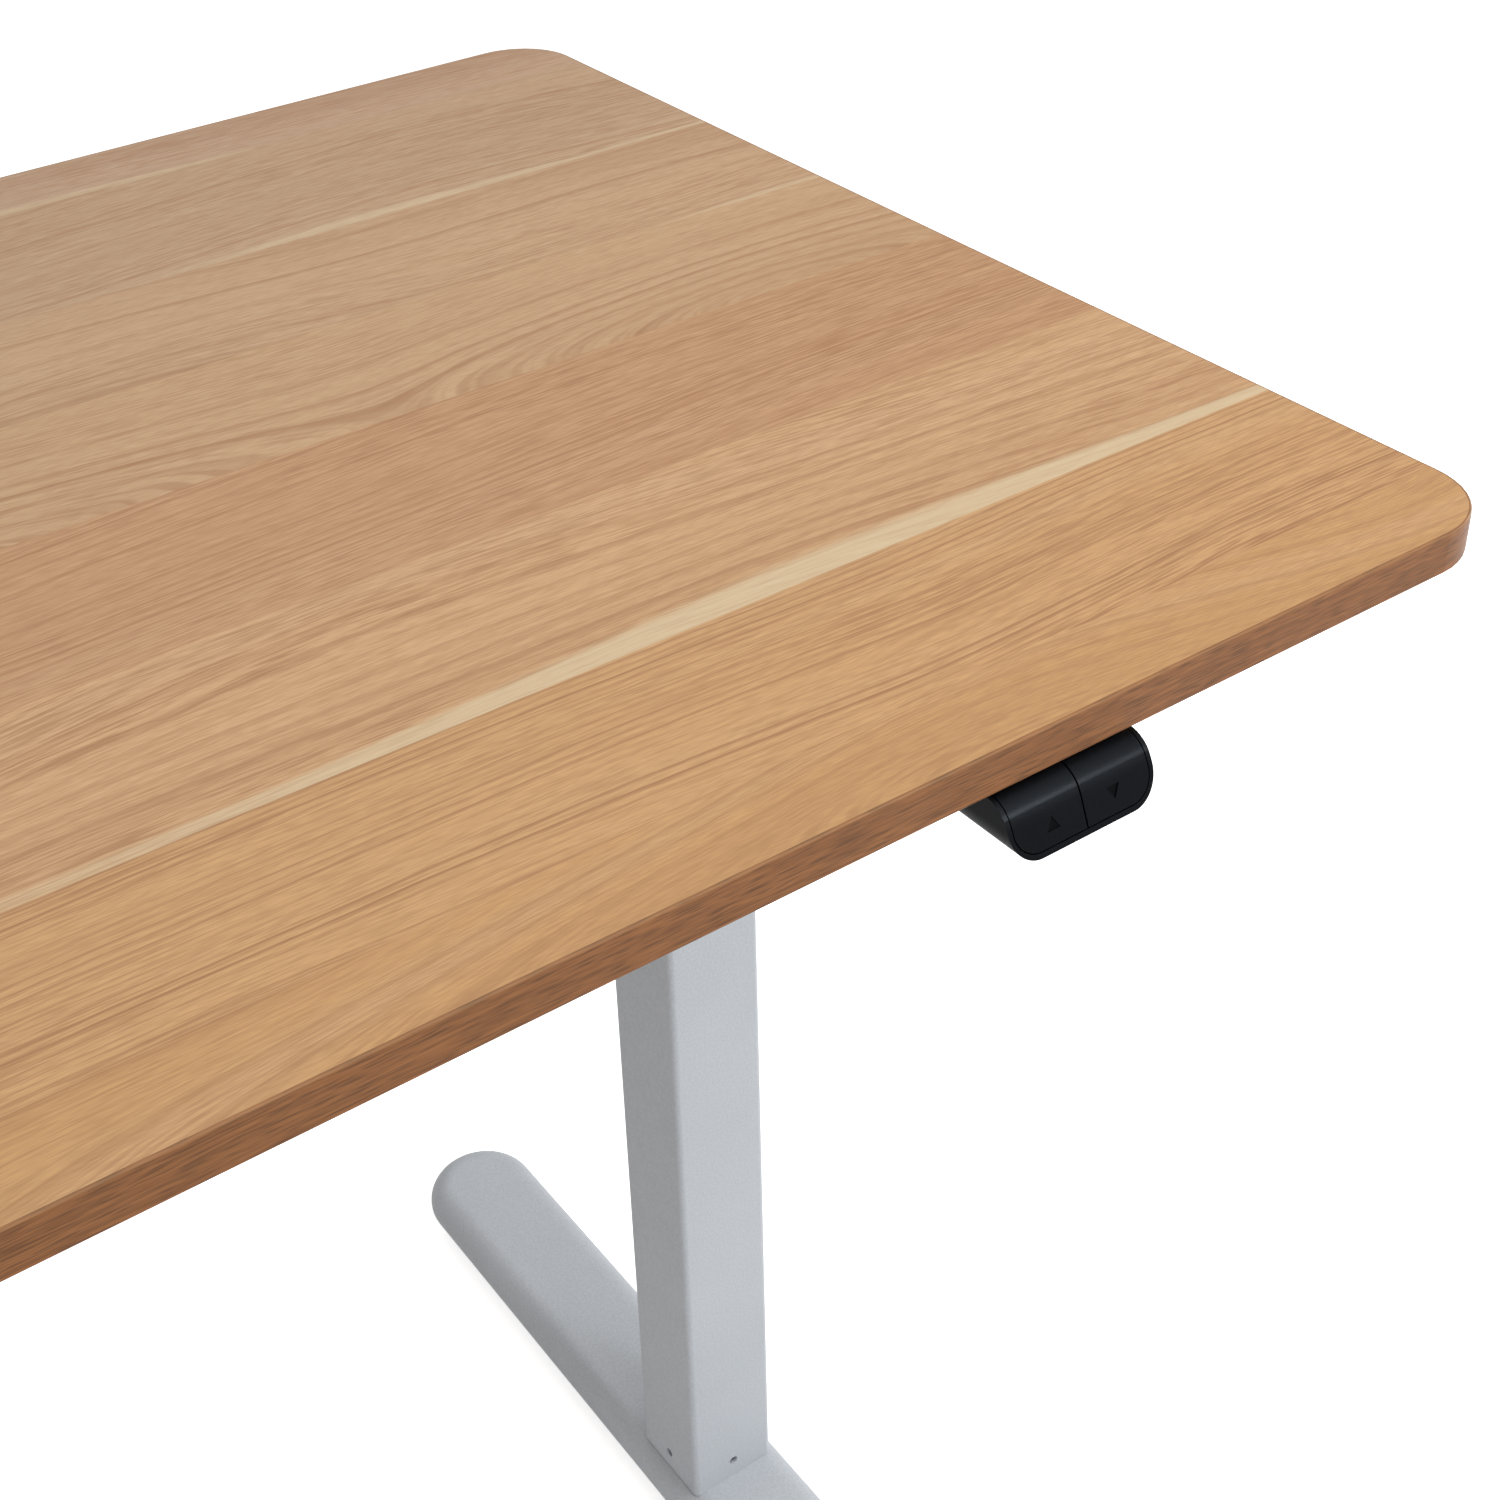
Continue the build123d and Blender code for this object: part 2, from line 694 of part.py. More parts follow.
def bevel_gear(hub_end):
    """A bevel gear with its apex at the origin, its axis on Z and a tooth towards +X."""
    with BuildPart() as tooth:
        for scale in (1.0, small_end):
            section_origin = (scale * gear_pitch_radius, 0, -scale * gear_pitch_radius)
            with BuildSketch(Plane(origin=section_origin, x_dir=(0, 1, 0), z_dir=(1, 0, -1))):
                with BuildLine():
                    Polyline(
                        (-scale * tooth_root_width / 2, -scale * (tooth_dedendum + tooth_embed)),
                        (scale * tooth_root_width / 2, -scale * (tooth_dedendum + tooth_embed)),
                        (scale * tooth_tip_width / 2, scale * tooth_addendum),
                        (-scale * tooth_tip_width / 2, scale * tooth_addendum),
                        close=True,
                    )
                make_face()
        loft()
    with BuildPart() as gear:
        with BuildSketch(Plane.XZ):
            with BuildLine():
                Polyline(
                    (0, -small_end * root_depth),
                    (small_end * root_radius, -small_end * root_depth),
                    (root_radius, -root_depth),
                    (root_radius, -gear_length),
                    (gear_hub_radius, -gear_length),
                    (gear_hub_radius, -hub_end),
                    (0, -hub_end),
                    close=True,
                )
            make_face()
        revolve(axis=Axis.Z)
        with PolarLocations(0, gear_teeth):
            add(tooth.part)
    return gear


# Spindle gears: a tooth points at the pinion
spindle_gear = bevel_gear(shaft_height - bearing_top - slide_gap)
with BuildPart() as bevel_wheel:
    with Locations(Plane(origin=(column_x, 0, shaft_height), x_dir=(-1, 0, 0), z_dir=(0, 0, 1))):
        add(spindle_gear.part)
    with BuildSketch(Plane.XY.offset(bearing_top)):
        with Locations((column_x, 0)):
            Circle(journal_radius + fit_gap)
    extrude(amount=shaft_height - bearing_top, mode=Mode.SUBTRACT)
keep_pair(bevel_wheel, "bevel_gear")

# Pinions on the drive shaft: a gap points at the spindle gear
pinion_gear = bevel_gear(gear_case_inner_reach + pinion_hub_proud)
half_pitch = radians(180 / gear_teeth)
pinion_tooth = (0, sin(half_pitch), -cos(half_pitch))
with BuildPart() as bevel_pinion:
    with Locations(Plane(origin=(column_x, 0, shaft_height), x_dir=pinion_tooth, z_dir=(1, 0, 0))):
        add(pinion_gear.part)
    with BuildSketch(Plane.YZ.offset(column_x)):
        with Locations((0, shaft_height)):
            RegularPolygon(shaft_across_flats / 2 + fit_gap, 6, major_radius=False)
    extrude(amount=-gear_case_inner_reach - pinion_hub_proud, mode=Mode.SUBTRACT)
keep_pair(bevel_pinion, "bevel_pinion")

# Spindles: threaded length below the bearing, plain journal through the bearing and the gear
spindle_shoulder = bearing_bottom - slide_gap
journal_top = shaft_height - small_end * root_depth
with BuildPart() as spindle:
    with BuildSketch(Plane.XY.offset(block_top + spindle_floor_gap)):
        with Locations((column_x, 0)):
            Circle(spindle_radius)
    extrude(amount=spindle_shoulder - block_top - spindle_floor_gap)
    with BuildSketch(Plane.XY.offset(spindle_shoulder)):
        with Locations((column_x, 0)):
            Circle(journal_radius)
    extrude(amount=journal_top - spindle_shoulder)
keep_pair(spindle, "spindle")

# Drive shaft from pinion to pinion
shaft_half = column_x - small_end * root_depth
with BuildPart() as drive_shaft:
    with BuildSketch(Plane.YZ.offset(-shaft_half)):
        with Locations((0, shaft_height)):
            RegularPolygon(shaft_across_flats / 2, 6, major_radius=False)
    extrude(amount=2 * shaft_half)
keep(drive_shaft, "drive_shaft")

# Worm wheel on the shaft, inside the motor's gear case
wheel_root = worm_wheel_radius - worm_tooth_depth
wheel_pitch = 2 * pi * wheel_root / worm_wheel_teeth
with BuildPart() as worm_wheel:
    with BuildSketch(Plane.YZ.offset(motor_x - worm_wheel_width / 2)):
        with Locations((0, shaft_height)):
            Circle(wheel_root)
            with PolarLocations(worm_wheel_radius - worm_tooth_depth, worm_wheel_teeth):
                Rectangle(2 * worm_tooth_depth, wheel_pitch / 2)
    extrude(amount=worm_wheel_width)
    with BuildSketch(Plane.YZ.offset(motor_x - motor_case_thickness / 2)):
        with Locations((0, shaft_height)):
            Circle(worm_wheel_hub_radius)
    extrude(amount=motor_case_thickness)
    with BuildSketch(Plane.YZ.offset(motor_x - motor_case_thickness / 2)):
        with Locations((0, shaft_height)):
            RegularPolygon(shaft_across_flats / 2 + fit_gap, 6, major_radius=False)
    extrude(amount=motor_case_thickness, mode=Mode.SUBTRACT)
keep(worm_wheel, "worm_wheel")

# Motor gear case: a flanged housing hung from the rails, open on one side under its cover
wheel_room = worm_wheel_radius + worm_tooth_depth + worm_wheel_clearance
worm_height = shaft_height - worm_wheel_radius - worm_radius
motor_case_top = shaft_height + wheel_room + motor_case_top_gap
motor_case_bottom = worm_height - worm_radius - motor_case_bottom_wall - worm_wheel_clearance
motor_case_left = motor_x - motor_case_thickness / 2
motor_cover_left = motor_case_left + motor_case_thickness - motor_case_cover
wheel_room_left = motor_x - worm_wheel_width / 2 - worm_wheel_clearance


def motor_case_outline():
    """The gear case seen along the shaft."""
    with Locations((0, (motor_case_top + motor_case_bottom) / 2)):
        RectangleRounded(motor_case_width, motor_case_top - motor_case_bottom, motor_case_corner)


with BuildPart() as motor_gear_case:
    with BuildSketch(Plane.YZ.offset(motor_case_left)):
        motor_case_outline()
    extrude(amount=motor_case_thickness - motor_case_cover)
    with BuildSketch(Plane.XY.offset(rail_bottom)):
        with Locations((motor_x - motor_case_cover / 2, 0)):
            Rectangle(motor_case_thickness - motor_case_cover, 2 * flange_half)
    extrude(amount=-motor_flange)
    with BuildSketch(Plane.YZ.offset(motor_cover_left)):
        with Locations((0, shaft_height)):
            Circle(wheel_room)
    extrude(amount=wheel_room_left - motor_cover_left, mode=Mode.SUBTRACT)
    with BuildSketch(Plane.XZ.offset(motor_case_width / 2)):
        with Locations((motor_x, worm_height)):
            Circle(worm_radius + worm_wheel_clearance)
    extrude(amount=-motor_case_width / 2, mode=Mode.SUBTRACT)
    with BuildSketch(Plane.YZ.offset(motor_case_left)):
        with Locations((0, shaft_height)):
            Circle(worm_wheel_hub_radius + fit_gap)
    extrude(amount=motor_case_thickness, mode=Mode.SUBTRACT)
    with BuildSketch(Plane.XY.offset(rail_bottom)):
        with Locations(*motor_bolt_spots):
            Circle(bolt_radius + bolt_gap)
    extrude(amount=-motor_flange, mode=Mode.SUBTRACT)
keep(motor_gear_case, "motor_gear_case")

with BuildPart() as motor_gear_cover:
    with BuildSketch(Plane.YZ.offset(motor_cover_left)):
        motor_case_outline()
        with Locations((0, shaft_height)):
            Circle(worm_wheel_hub_radius + fit_gap, mode=Mode.SUBTRACT)
    extrude(amount=motor_case_cover)
keep(motor_gear_cover, "motor_gear_cover")

# Motor: a sealed can under the front rail
motor_front = -motor_case_width / 2 - motor_length
with BuildPart() as motor:
    with BuildSketch(Plane.XZ.offset(motor_case_width / 2)):
        with Locations((motor_x, worm_height)):
            Circle(motor_radius)
    extrude(amount=motor_length)
    fillet(motor.faces().sort_by(Axis.Y)[0].edges(), motor_edge_round)
keep(motor, "motor")

# Bolts: rails to head brackets, gear cases to head brackets, motor gear case to rails
with BuildPart() as frame_bolts:
    bolt_seats = [
        (rail_bottom - head_sheet, head_sheet, head_bolt_spots),
        (rail_bottom - motor_flange, motor_flange, motor_bolt_spots),
        (head_bottom, head_sheet, [(sign * x, y) for sign in SIDES.values() for x, y in case_bolt_spots]),
    ]
    for seat, grip, spots in bolt_seats:
        with BuildSketch(Plane.XY.offset(seat)):
            with Locations(*spots):
                Circle(bolt_head_radius)
                RegularPolygon(bolt_radius / 2, 6, mode=Mode.SUBTRACT)
        extrude(amount=-bolt_head_height)
        with BuildSketch(Plane.XY.offset(seat)):
            with Locations(*spots):
                Circle(bolt_radius)
        extrude(amount=grip + bolt_length - slide_gap)
keep(frame_bolts, "frame_bolts")

# Control box: a tray with posts for its board, under a lid with ears screwed to the top
box_bottom = seat_height - box_depth
box_floor = box_bottom + box_wall
inlet_inside = inlet_depth + inlet_wall - inlet_flange
board_length = box_length - box_wall - inlet_inside - 2 * board_margin
board_x = box_left + box_wall + board_margin + board_length / 2
board_width = box_width - 2 * box_wall - 2 * board_margin
inlet_z = box_bottom + box_depth / 2
inlet_y = box_y - inlet_offset
handset_lead_y = box_y + box_lead_offset
handset_lead_z = underside - handset_height / 2
motor_lead_y = box_y
with BuildPart() as control_box_case:
    with BuildSketch(Plane.XY.offset(box_bottom)):
        with Locations((box_x, box_y)):
            RectangleRounded(box_length, box_width, box_corner)
    extrude(amount=box_depth)
    fillet(control_box_case.faces().sort_by(Axis.Z)[0].edges(), box_wall / 2)
    with BuildSketch(Plane.XY.offset(box_floor)):
        with Locations((box_x, box_y)):
            RectangleRounded(box_length - 2 * box_wall, box_width - 2 * box_wall, box_corner - box_wall)
    extrude(amount=box_depth, mode=Mode.SUBTRACT)
    with BuildSketch(Plane.XY.offset(box_floor)):
        with Locations((board_x, box_y)):
            with GridLocations(board_length - 4 * post_radius, board_width - 4 * post_radius, 2, 2):
                Circle(post_radius)
    extrude(amount=post_height)
    with BuildSketch(Plane.YZ.offset(box_right)):
        with Locations((inlet_y, inlet_z)):
            Rectangle(inlet_width + 2 * inlet_wall + 2 * fit_gap, inlet_height + 2 * inlet_wall + 2 * fit_gap)
        with Locations((handset_lead_y, inlet_z)):
            Circle(cable_diameter / 2 + fit_gap)
    extrude(amount=-box_wall, mode=Mode.SUBTRACT)
    with BuildSketch(Plane.YZ.offset(box_left)):
        with Locations((motor_lead_y, inlet_z)):
            Circle(cable_diameter / 2 + fit_gap)
    extrude(amount=box_wall, mode=Mode.SUBTRACT)
keep(control_box_case, "control_box_case")

with BuildPart() as control_box_lid:
    with BuildSketch(Plane.XY.offset(seat_height)):
        with Locations((box_x, box_y)):
            RectangleRounded(box_length, box_width, box_corner)
        with Locations(*box_screw_spots):
            RectangleRounded(2 * box_ear, box_ear, box_ear / 3)
        with Locations(*box_screw_spots):
            Circle(wood_screw_radius + bolt_gap, mode=Mode.SUBTRACT)
    extrude(amount=plate_thickness)
keep(control_box_lid, "control_box_lid")

board_bottom = box_floor + post_height
with BuildPart() as control_board:
    with BuildSketch(Plane.XY.offset(board_bottom)):
        with Locations((board_x, box_y)):
            Rectangle(board_length, board_width)
    extrude(amount=board_thickness)
    with BuildSketch(Plane.XY.offset(board_bottom + board_thickness)):
        with Locations((board_x - board_length / 4, box_y)):
            Rectangle(transformer_size, transformer_size)
    extrude(amount=transformer_height)
    with BuildSketch(Plane.XY.offset(board_bottom + board_thickness)):
        with Locations((board_x + transformer_size / 2, box_y)):
            with GridLocations(3 * capacitor_radius, 3 * capacitor_radius, 2, 2):
                Circle(capacitor_radius)
    extrude(amount=capacitor_height)
keep(control_board, "control_board")

# Mains inlet: a flanged socket in the end of the control box, with its pins well inside the mouth
with BuildPart() as mains_inlet:
    with BuildSketch(Plane.YZ.offset(box_right)):
        with Locations((inlet_y, inlet_z)):
            Rectangle(inlet_width + 2 * inlet_wall, inlet_height + 2 * inlet_wall)
    extrude(amount=-inlet_inside)
    with BuildSketch(Plane.YZ.offset(box_right)):
        with Locations((inlet_y, inlet_z)):
            RectangleRounded(
                inlet_width + 2 * inlet_wall + 2 * inlet_flange_margin,
                inlet_height + 2 * inlet_wall + 2 * inlet_flange_margin,
                inlet_flange_margin,
            )
    extrude(amount=inlet_flange)
    with BuildSketch(Plane.YZ.offset(box_right + inlet_flange)):
        with Locations((inlet_y, inlet_z)):
            RectangleRounded(inlet_width, inlet_height, inlet_height / 5)
    extrude(amount=-inlet_depth, mode=Mode.SUBTRACT)
    with BuildSketch(Plane.YZ.offset(box_right + inlet_flange - inlet_depth)):
        with Locations(
            (inlet_y - inlet_pin_pitch, inlet_z),
            (inlet_y + inlet_pin_pitch, inlet_z),
            (inlet_y, inlet_z + inlet_pin_size),
        ):
            Rectangle(inlet_pin_size, 2 * inlet_pin_size)
    extrude(amount=inlet_pin_length)
keep(mains_inlet, "mains_inlet")

# Handset: face coordinates run up the sloping face and inwards along the buttons' stroke
lean = radians(handset_lean)
face_low_y = front_edge - handset_reach
face_low_z = underside - handset_height
face_rise = seat_height - face_low_z
face_length = face_rise / cos(lean)


def face_point(up, inward):
    """Y and Z of a point given by its place up the face and its depth behind it."""
    return (
        face_low_y + up * sin(lean) + inward * cos(lean),
        face_low_z + up * cos(lean) - inward * sin(lean),
    )


face_normal = (0, -cos(lean), sin(lean))
face_plane = Plane(origin=(handset_x, face_low_y, face_low_z), x_dir=(1, 0, 0), z_dir=face_normal)


def handset_form(inset, lower_round):
    """The handset's outer form, drawn in by a wall where that is wanted."""
    low = face_low_z + inset
    high = seat_height - inset
    back = handset_back - inset
    front_shift = inset / cos(lean)
    with BuildPart() as form:
        with BuildSketch(Plane.YZ.offset(handset_x - handset_width / 2 + inset)) as side:
            with BuildLine():
                Polyline(
                    (back, high),
                    (face_low_y + (high - face_low_z) * tan(lean) + front_shift, high),
                    (face_low_y + (low - face_low_z) * tan(lean) + front_shift, low),
                    (back, low),
                    close=True,
                )
            make_face()
            corners = side.vertices().group_by(Axis.X)
            fillet(corners[1], handset_shoulder - inset)
            fillet(corners[0], lower_round)
        extrude(amount=handset_width - 2 * inset)
        with BuildSketch(Plane.XZ.offset(-back)) as front:
            with Locations((handset_x, (low + high) / 2)):
                Rectangle(handset_width - 2 * inset, high - low)
            fillet(front.vertices().group_by(Axis.Y)[0], handset_corner - inset)
        extrude(amount=handset_depth + handset_reach, mode=Mode.INTERSECT)
    return form


handset_envelope = handset_form(0, handset_lower_round)
handset_hollow = handset_form(handset_wall, handset_lower_round / 2)

# Handset case: a shell with one opening for both buttons and two posts for its board
opening_top = face_length + button_over
shoulder_start = face_length - button_shoulder_height
lid_front = front_edge + handset_base_set_back
board_back = handset_board_depth + board_thickness
board_foot = face_point(handset_board_low, board_back)
board_head = face_point(handset_board_low + handset_board_height, board_back)
post_back = board_head[0] + handset_post_width
post_floor = face_low_z + handset_wall


def button_outline(left, right, gap, round_left, round_right):
    """A patch of the face for one button or for their opening, its lower outer corners rounded."""
    low = button_sill + gap
    with BuildSketch(face_plane) as patch:
        with Locations(((left + right) / 2, (low + opening_top - gap) / 2)):
            Rectangle(right - left, opening_top - gap - low)
        lower = patch.vertices().group_by(Axis.Y)[0].sort_by(Axis.X)
        rounded = [corner for corner, wanted in zip(lower, (round_left, round_right)) if wanted]
        fillet(rounded, button_corner - gap)
    return patch


def shoulder_patch(left, right, gap):
    """The upper part of that patch, where the button wraps over the shoulder."""
    low = shoulder_start + gap
    with BuildSketch(face_plane) as patch:
        with Locations(((left + right) / 2, (low + opening_top - gap) / 2)):
            Rectangle(right - left, opening_top - gap - low)
    return patch


opening_half = handset_width / 2 - button_rim
with BuildPart() as handset_case:
    add(handset_envelope.part)
    add(handset_hollow.part, mode=Mode.SUBTRACT)
    opening = button_outline(-opening_half, opening_half, 0, True, True)
    extrude(opening.sketch, amount=-button_cap - button_stroke - button_gap, mode=Mode.SUBTRACT)
    upper_opening = shoulder_patch(-opening_half, opening_half, 0)
    upper_opening_depth = button_shoulder_cap + button_stem_gap + handset_wall
    extrude(upper_opening.sketch, amount=-upper_opening_depth, mode=Mode.SUBTRACT)
    with BuildSketch(Plane.XY.offset(seat_height)):
        with Locations((handset_x, (lid_front + handset_shoulder + handset_back - handset_wall) / 2)):
            Rectangle(
                handset_width - 2 * handset_wall, handset_back - handset_wall - lid_front - handset_shoulder
            )
    extrude(amount=-handset_wall, mode=Mode.SUBTRACT)
    for sign in SIDES.values():
        post_x = handset_x + sign * handset_post_spacing / 2 - handset_post_width / 2
        with BuildSketch(Plane.YZ.offset(post_x)):
            with BuildLine():
                Polyline(
                    board_foot,
                    board_head,
                    (post_back, board_head[1]),
                    (post_back, post_floor),
                    (board_foot[0], post_floor),
                    close=True,
                )
            make_face()
        extrude(amount=handset_post_width)
    with BuildSketch(Plane.XZ.offset(-handset_back)):
        with Locations((handset_x, handset_lead_z)):
            Circle(cable_diameter / 2 + fit_gap)
    extrude(amount=handset_wall, mode=Mode.SUBTRACT)
keep(handset_case, "handset_case")

# Handset base: the plate between the case and the top, with two screw ears behind
with BuildPart() as handset_base:
    with BuildSketch(Plane.XY.offset(seat_height)) as base_outline:
        with Locations((handset_x, (lid_front + handset_back + handset_ear) / 2)):
            RectangleRounded(handset_width, handset_back + handset_ear - lid_front, handset_wall)
        with Locations(*handset_screw_spots):
            Circle(wood_screw_radius + bolt_gap, mode=Mode.SUBTRACT)
    extrude(amount=plate_thickness)
keep(handset_base, "handset_base")

# Handset board, parallel to the face
handset_board_width = handset_width - 2 * handset_wall - 2 * handset_board_side_gap
with BuildPart() as handset_board:
    with BuildSketch(face_plane.offset(-handset_board_depth)):
        with Locations((0, handset_board_low + handset_board_height / 2)):
            Rectangle(handset_board_width, handset_board_height)
    extrude(amount=-board_thickness)
keep(handset_board, "handset_board")

# Buttons: caps that follow the handset's outline, each with a sunk arrow and a stem towards the board
arrow_high = arrow_low + arrow_height
stem_up = handset_board_low + handset_board_height / 2
for name, sign in {"up": -1, "down": 1}.items():
    left, right = sorted([sign * button_seam / 2, sign * (opening_half - button_gap)])
    with BuildPart() as button:
        cap = button_outline(left, right, button_gap, sign < 0, sign > 0)
        extrude(cap.sketch, amount=-button_cap)
        upper_cap = shoulder_patch(left, right, button_gap)
        extrude(upper_cap.sketch, amount=-button_shoulder_cap)
        with BuildSketch(face_plane):
            with Locations((sign * handset_post_spacing / 2, stem_up)):
                Circle(button_stem_radius)
        extrude(amount=-handset_board_depth + button_stem_gap)
        add(handset_envelope.part, mode=Mode.INTERSECT)
        base_up, tip_up = (arrow_low, arrow_high) if name == "up" else (arrow_high, arrow_low)
        with BuildSketch(face_plane):
            with BuildLine():
                Polyline(
                    (sign * arrow_offset - arrow_width / 2, base_up),
                    (sign * arrow_offset + arrow_width / 2, base_up),
                    (sign * arrow_offset, tip_up),
                    close=True,
                )
            make_face()
        extrude(amount=-arrow_depth, mode=Mode.SUBTRACT)
    keep(button, f"{name}_button")


def bend_radii(points):
    """The largest arc at each corner of a cable's route that its two runs leave room for."""
    radii = []
    for before, corner, after in zip(points, points[1:], points[2:]):
        run_in = Vector(*corner) - Vector(*before)
        run_out = Vector(*after) - Vector(*corner)
        turn = radians(run_in.get_angle(run_out))
        radii.append(0.45 * min(run_in.length, run_out.length) / tan(turn / 2))
    return radii


def cable(points):
    """A round cable along a route of straight runs and arcs."""
    with BuildPart() as lead:
        with BuildLine() as route:
            FilletPolyline(*points, radius=bend_radii(points))
        with BuildSketch(Plane(origin=points[0], z_dir=Vector(*points[1]) - Vector(*points[0]))):
            Circle(cable_diameter / 2)
        sweep(path=route.wires()[0])
    return lead


# Handset cable: out of the handset's back, along the underside through the clips, into the control box
cable_level = underside - cable_diameter / 2 - slide_gap
handset_cable_points = [
    (handset_x, handset_back - handset_wall, handset_lead_z),
    (handset_x, handset_back + 26, handset_lead_z),
    (handset_x - 22, cable_line_y - 16, handset_lead_z + 5),
    (handset_x - 66, cable_line_y, cable_level),
    (box_right + 76, cable_line_y, cable_level),
    (box_right + 42, cable_line_y + 14, inlet_z + 6),
    (box_right + 16, handset_lead_y, inlet_z),
    (box_right - box_wall, handset_lead_y, inlet_z),
]
keep(cable(handset_cable_points), "handset_cable")

# Motor cable: out of the end of the motor, in a slack bow up to the control box
motor_cable_points = [
    (motor_x, motor_front, worm_height),
    (motor_x, motor_front - 18, worm_height),
    (motor_x + 14, motor_front - 36, worm_height + 14),
    (motor_x + 42, motor_front - 34, inlet_z - 8),
    (box_left - 26, motor_lead_y - 4, inlet_z),
    (box_left - 10, motor_lead_y, inlet_z),
    (box_left + box_wall, motor_lead_y, inlet_z),
]
keep(cable(motor_cable_points), "motor_cable")

# Cable clips: saddles over the handset cable, each with a screw ear
clip_room = cable_diameter / 2 + slide_gap
clip_reach = clip_room + clip_wall
with BuildPart() as cable_clips:
    for x in clip_xs:
        with BuildSketch(Plane.YZ.offset(x - clip_width / 2)):
            with Locations((cable_line_y, underside - clip_reach / 2)):
                Rectangle(2 * clip_reach, clip_reach)
            with Locations((cable_line_y, underside - clip_room)):
                Circle(clip_reach)
            with Locations((clip_screw_y, underside - plate_thickness / 2)):
                Rectangle(clip_ear, plate_thickness)
            with Locations((cable_line_y, underside - clip_room / 2)):
                Rectangle(2 * clip_room, clip_room, mode=Mode.SUBTRACT)
            with Locations((cable_line_y, underside - clip_room)):
                Circle(clip_room, mode=Mode.SUBTRACT)
            with Locations((cable_line_y, underside + clip_reach / 2)):
                Rectangle(2 * clip_reach, clip_reach, mode=Mode.SUBTRACT)
        extrude(amount=clip_width)
    with BuildSketch(Plane.XY.offset(underside)):
        with Locations(*clip_screw_spots):
            Circle(wood_screw_radius + bolt_gap)
    extrude(amount=-plate_thickness, mode=Mode.SUBTRACT)
keep(cable_clips, "cable_clips")

# Wood screws up into the top, all alike
with BuildPart() as wood_screws:
    with BuildSketch(Plane.XY.offset(seat_height)):
        with Locations(*wood_screw_spots):
            Circle(wood_screw_head_radius)
            RegularPolygon(wood_screw_radius, 4, mode=Mode.SUBTRACT)
    extrude(amount=-wood_screw_head_height)
    with BuildSketch(Plane.XY.offset(seat_height)):
        with Locations(*wood_screw_spots):
            Circle(wood_screw_radius)
    extrude(amount=wood_screw_length)
keep(wood_screws, "wood_screws")
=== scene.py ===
from collections import namedtuple
from math import cos, pi, radians, sin

import bmesh
import bpy
from mathutils import Matrix, Vector


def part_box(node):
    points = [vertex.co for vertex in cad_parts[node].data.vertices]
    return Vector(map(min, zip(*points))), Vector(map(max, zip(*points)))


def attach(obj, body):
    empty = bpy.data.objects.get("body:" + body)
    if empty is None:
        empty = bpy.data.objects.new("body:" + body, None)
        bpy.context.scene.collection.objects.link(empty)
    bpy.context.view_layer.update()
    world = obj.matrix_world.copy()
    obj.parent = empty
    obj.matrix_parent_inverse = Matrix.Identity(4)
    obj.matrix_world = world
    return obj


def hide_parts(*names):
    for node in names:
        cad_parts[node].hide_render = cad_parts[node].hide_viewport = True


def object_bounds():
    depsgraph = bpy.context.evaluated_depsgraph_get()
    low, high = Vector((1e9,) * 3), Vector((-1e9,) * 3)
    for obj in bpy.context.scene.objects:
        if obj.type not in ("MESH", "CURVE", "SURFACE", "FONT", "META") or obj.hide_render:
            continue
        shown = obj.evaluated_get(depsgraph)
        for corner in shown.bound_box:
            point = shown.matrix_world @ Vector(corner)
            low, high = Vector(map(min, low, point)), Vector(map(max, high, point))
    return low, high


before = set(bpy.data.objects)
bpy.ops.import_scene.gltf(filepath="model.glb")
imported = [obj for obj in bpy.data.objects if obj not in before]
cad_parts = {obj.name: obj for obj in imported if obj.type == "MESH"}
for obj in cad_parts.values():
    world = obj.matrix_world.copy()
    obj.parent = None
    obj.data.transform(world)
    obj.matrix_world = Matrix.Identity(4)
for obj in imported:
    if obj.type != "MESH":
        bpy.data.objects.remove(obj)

# Size of the imported model
cad_low, cad_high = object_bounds()

# Camera at the photograph's viewing angle: its place in metres, its axes, its lens in the photograph's
# pixels, its sensor in millimetres and the nearest distance that it shows in metres
photo_pixels = 1500
camera_place = Vector((0.02269, -0.67885, 1.10408))
camera_right = Vector((0.8172, -0.57535, -0.03403))
camera_down = Vector((-0.33996, -0.43351, -0.83456))
camera_forward = Vector((0.46541, 0.69357, -0.54986))
focal_pixels = 2280.2
optical_centre = (690, 640)
sensor_width = 36.0
nearest_view = 0.05

# Soft lamps: their place, aim and size in metres and their power in watts
Lamp = namedtuple("Lamp", "name place aim size power")
lamps = (
    Lamp("ceiling_lamp", (0.6, 1.5, 2.9), (0.3, 0.6, 0.0), (2.6, 2.6), 19.0),
    Lamp("key_lamp", (0.75, -1.45, 2.5), (0.35, -0.1, 0.4), (1.7, 1.7), 29.0),
    Lamp("front_lamp", (-0.2, -2.7, 0.9), (0.4, 0.0, 0.4), (1.4, 1.2), 7.5),
    Lamp("side_lamp", (2.4, -0.3, 1.0), (0.47, 0.0, 0.05), (1.2, 1.0), 17.0),
    Lamp("small_lamp", (1.15, -1.45, 1.36), (0.39, -0.3, 0.68), (0.32, 0.26), 5.5),
)

# White room and floor: the room's light on the desk, and the floor's glow to the eye and its reach in metres
white = (1.0, 1.0, 1.0, 1.0)
room_light = 0.34
floor_white = (0.93, 0.93, 0.93, 1.0)
floor_glow = 0.7
floor_reach = 12.0

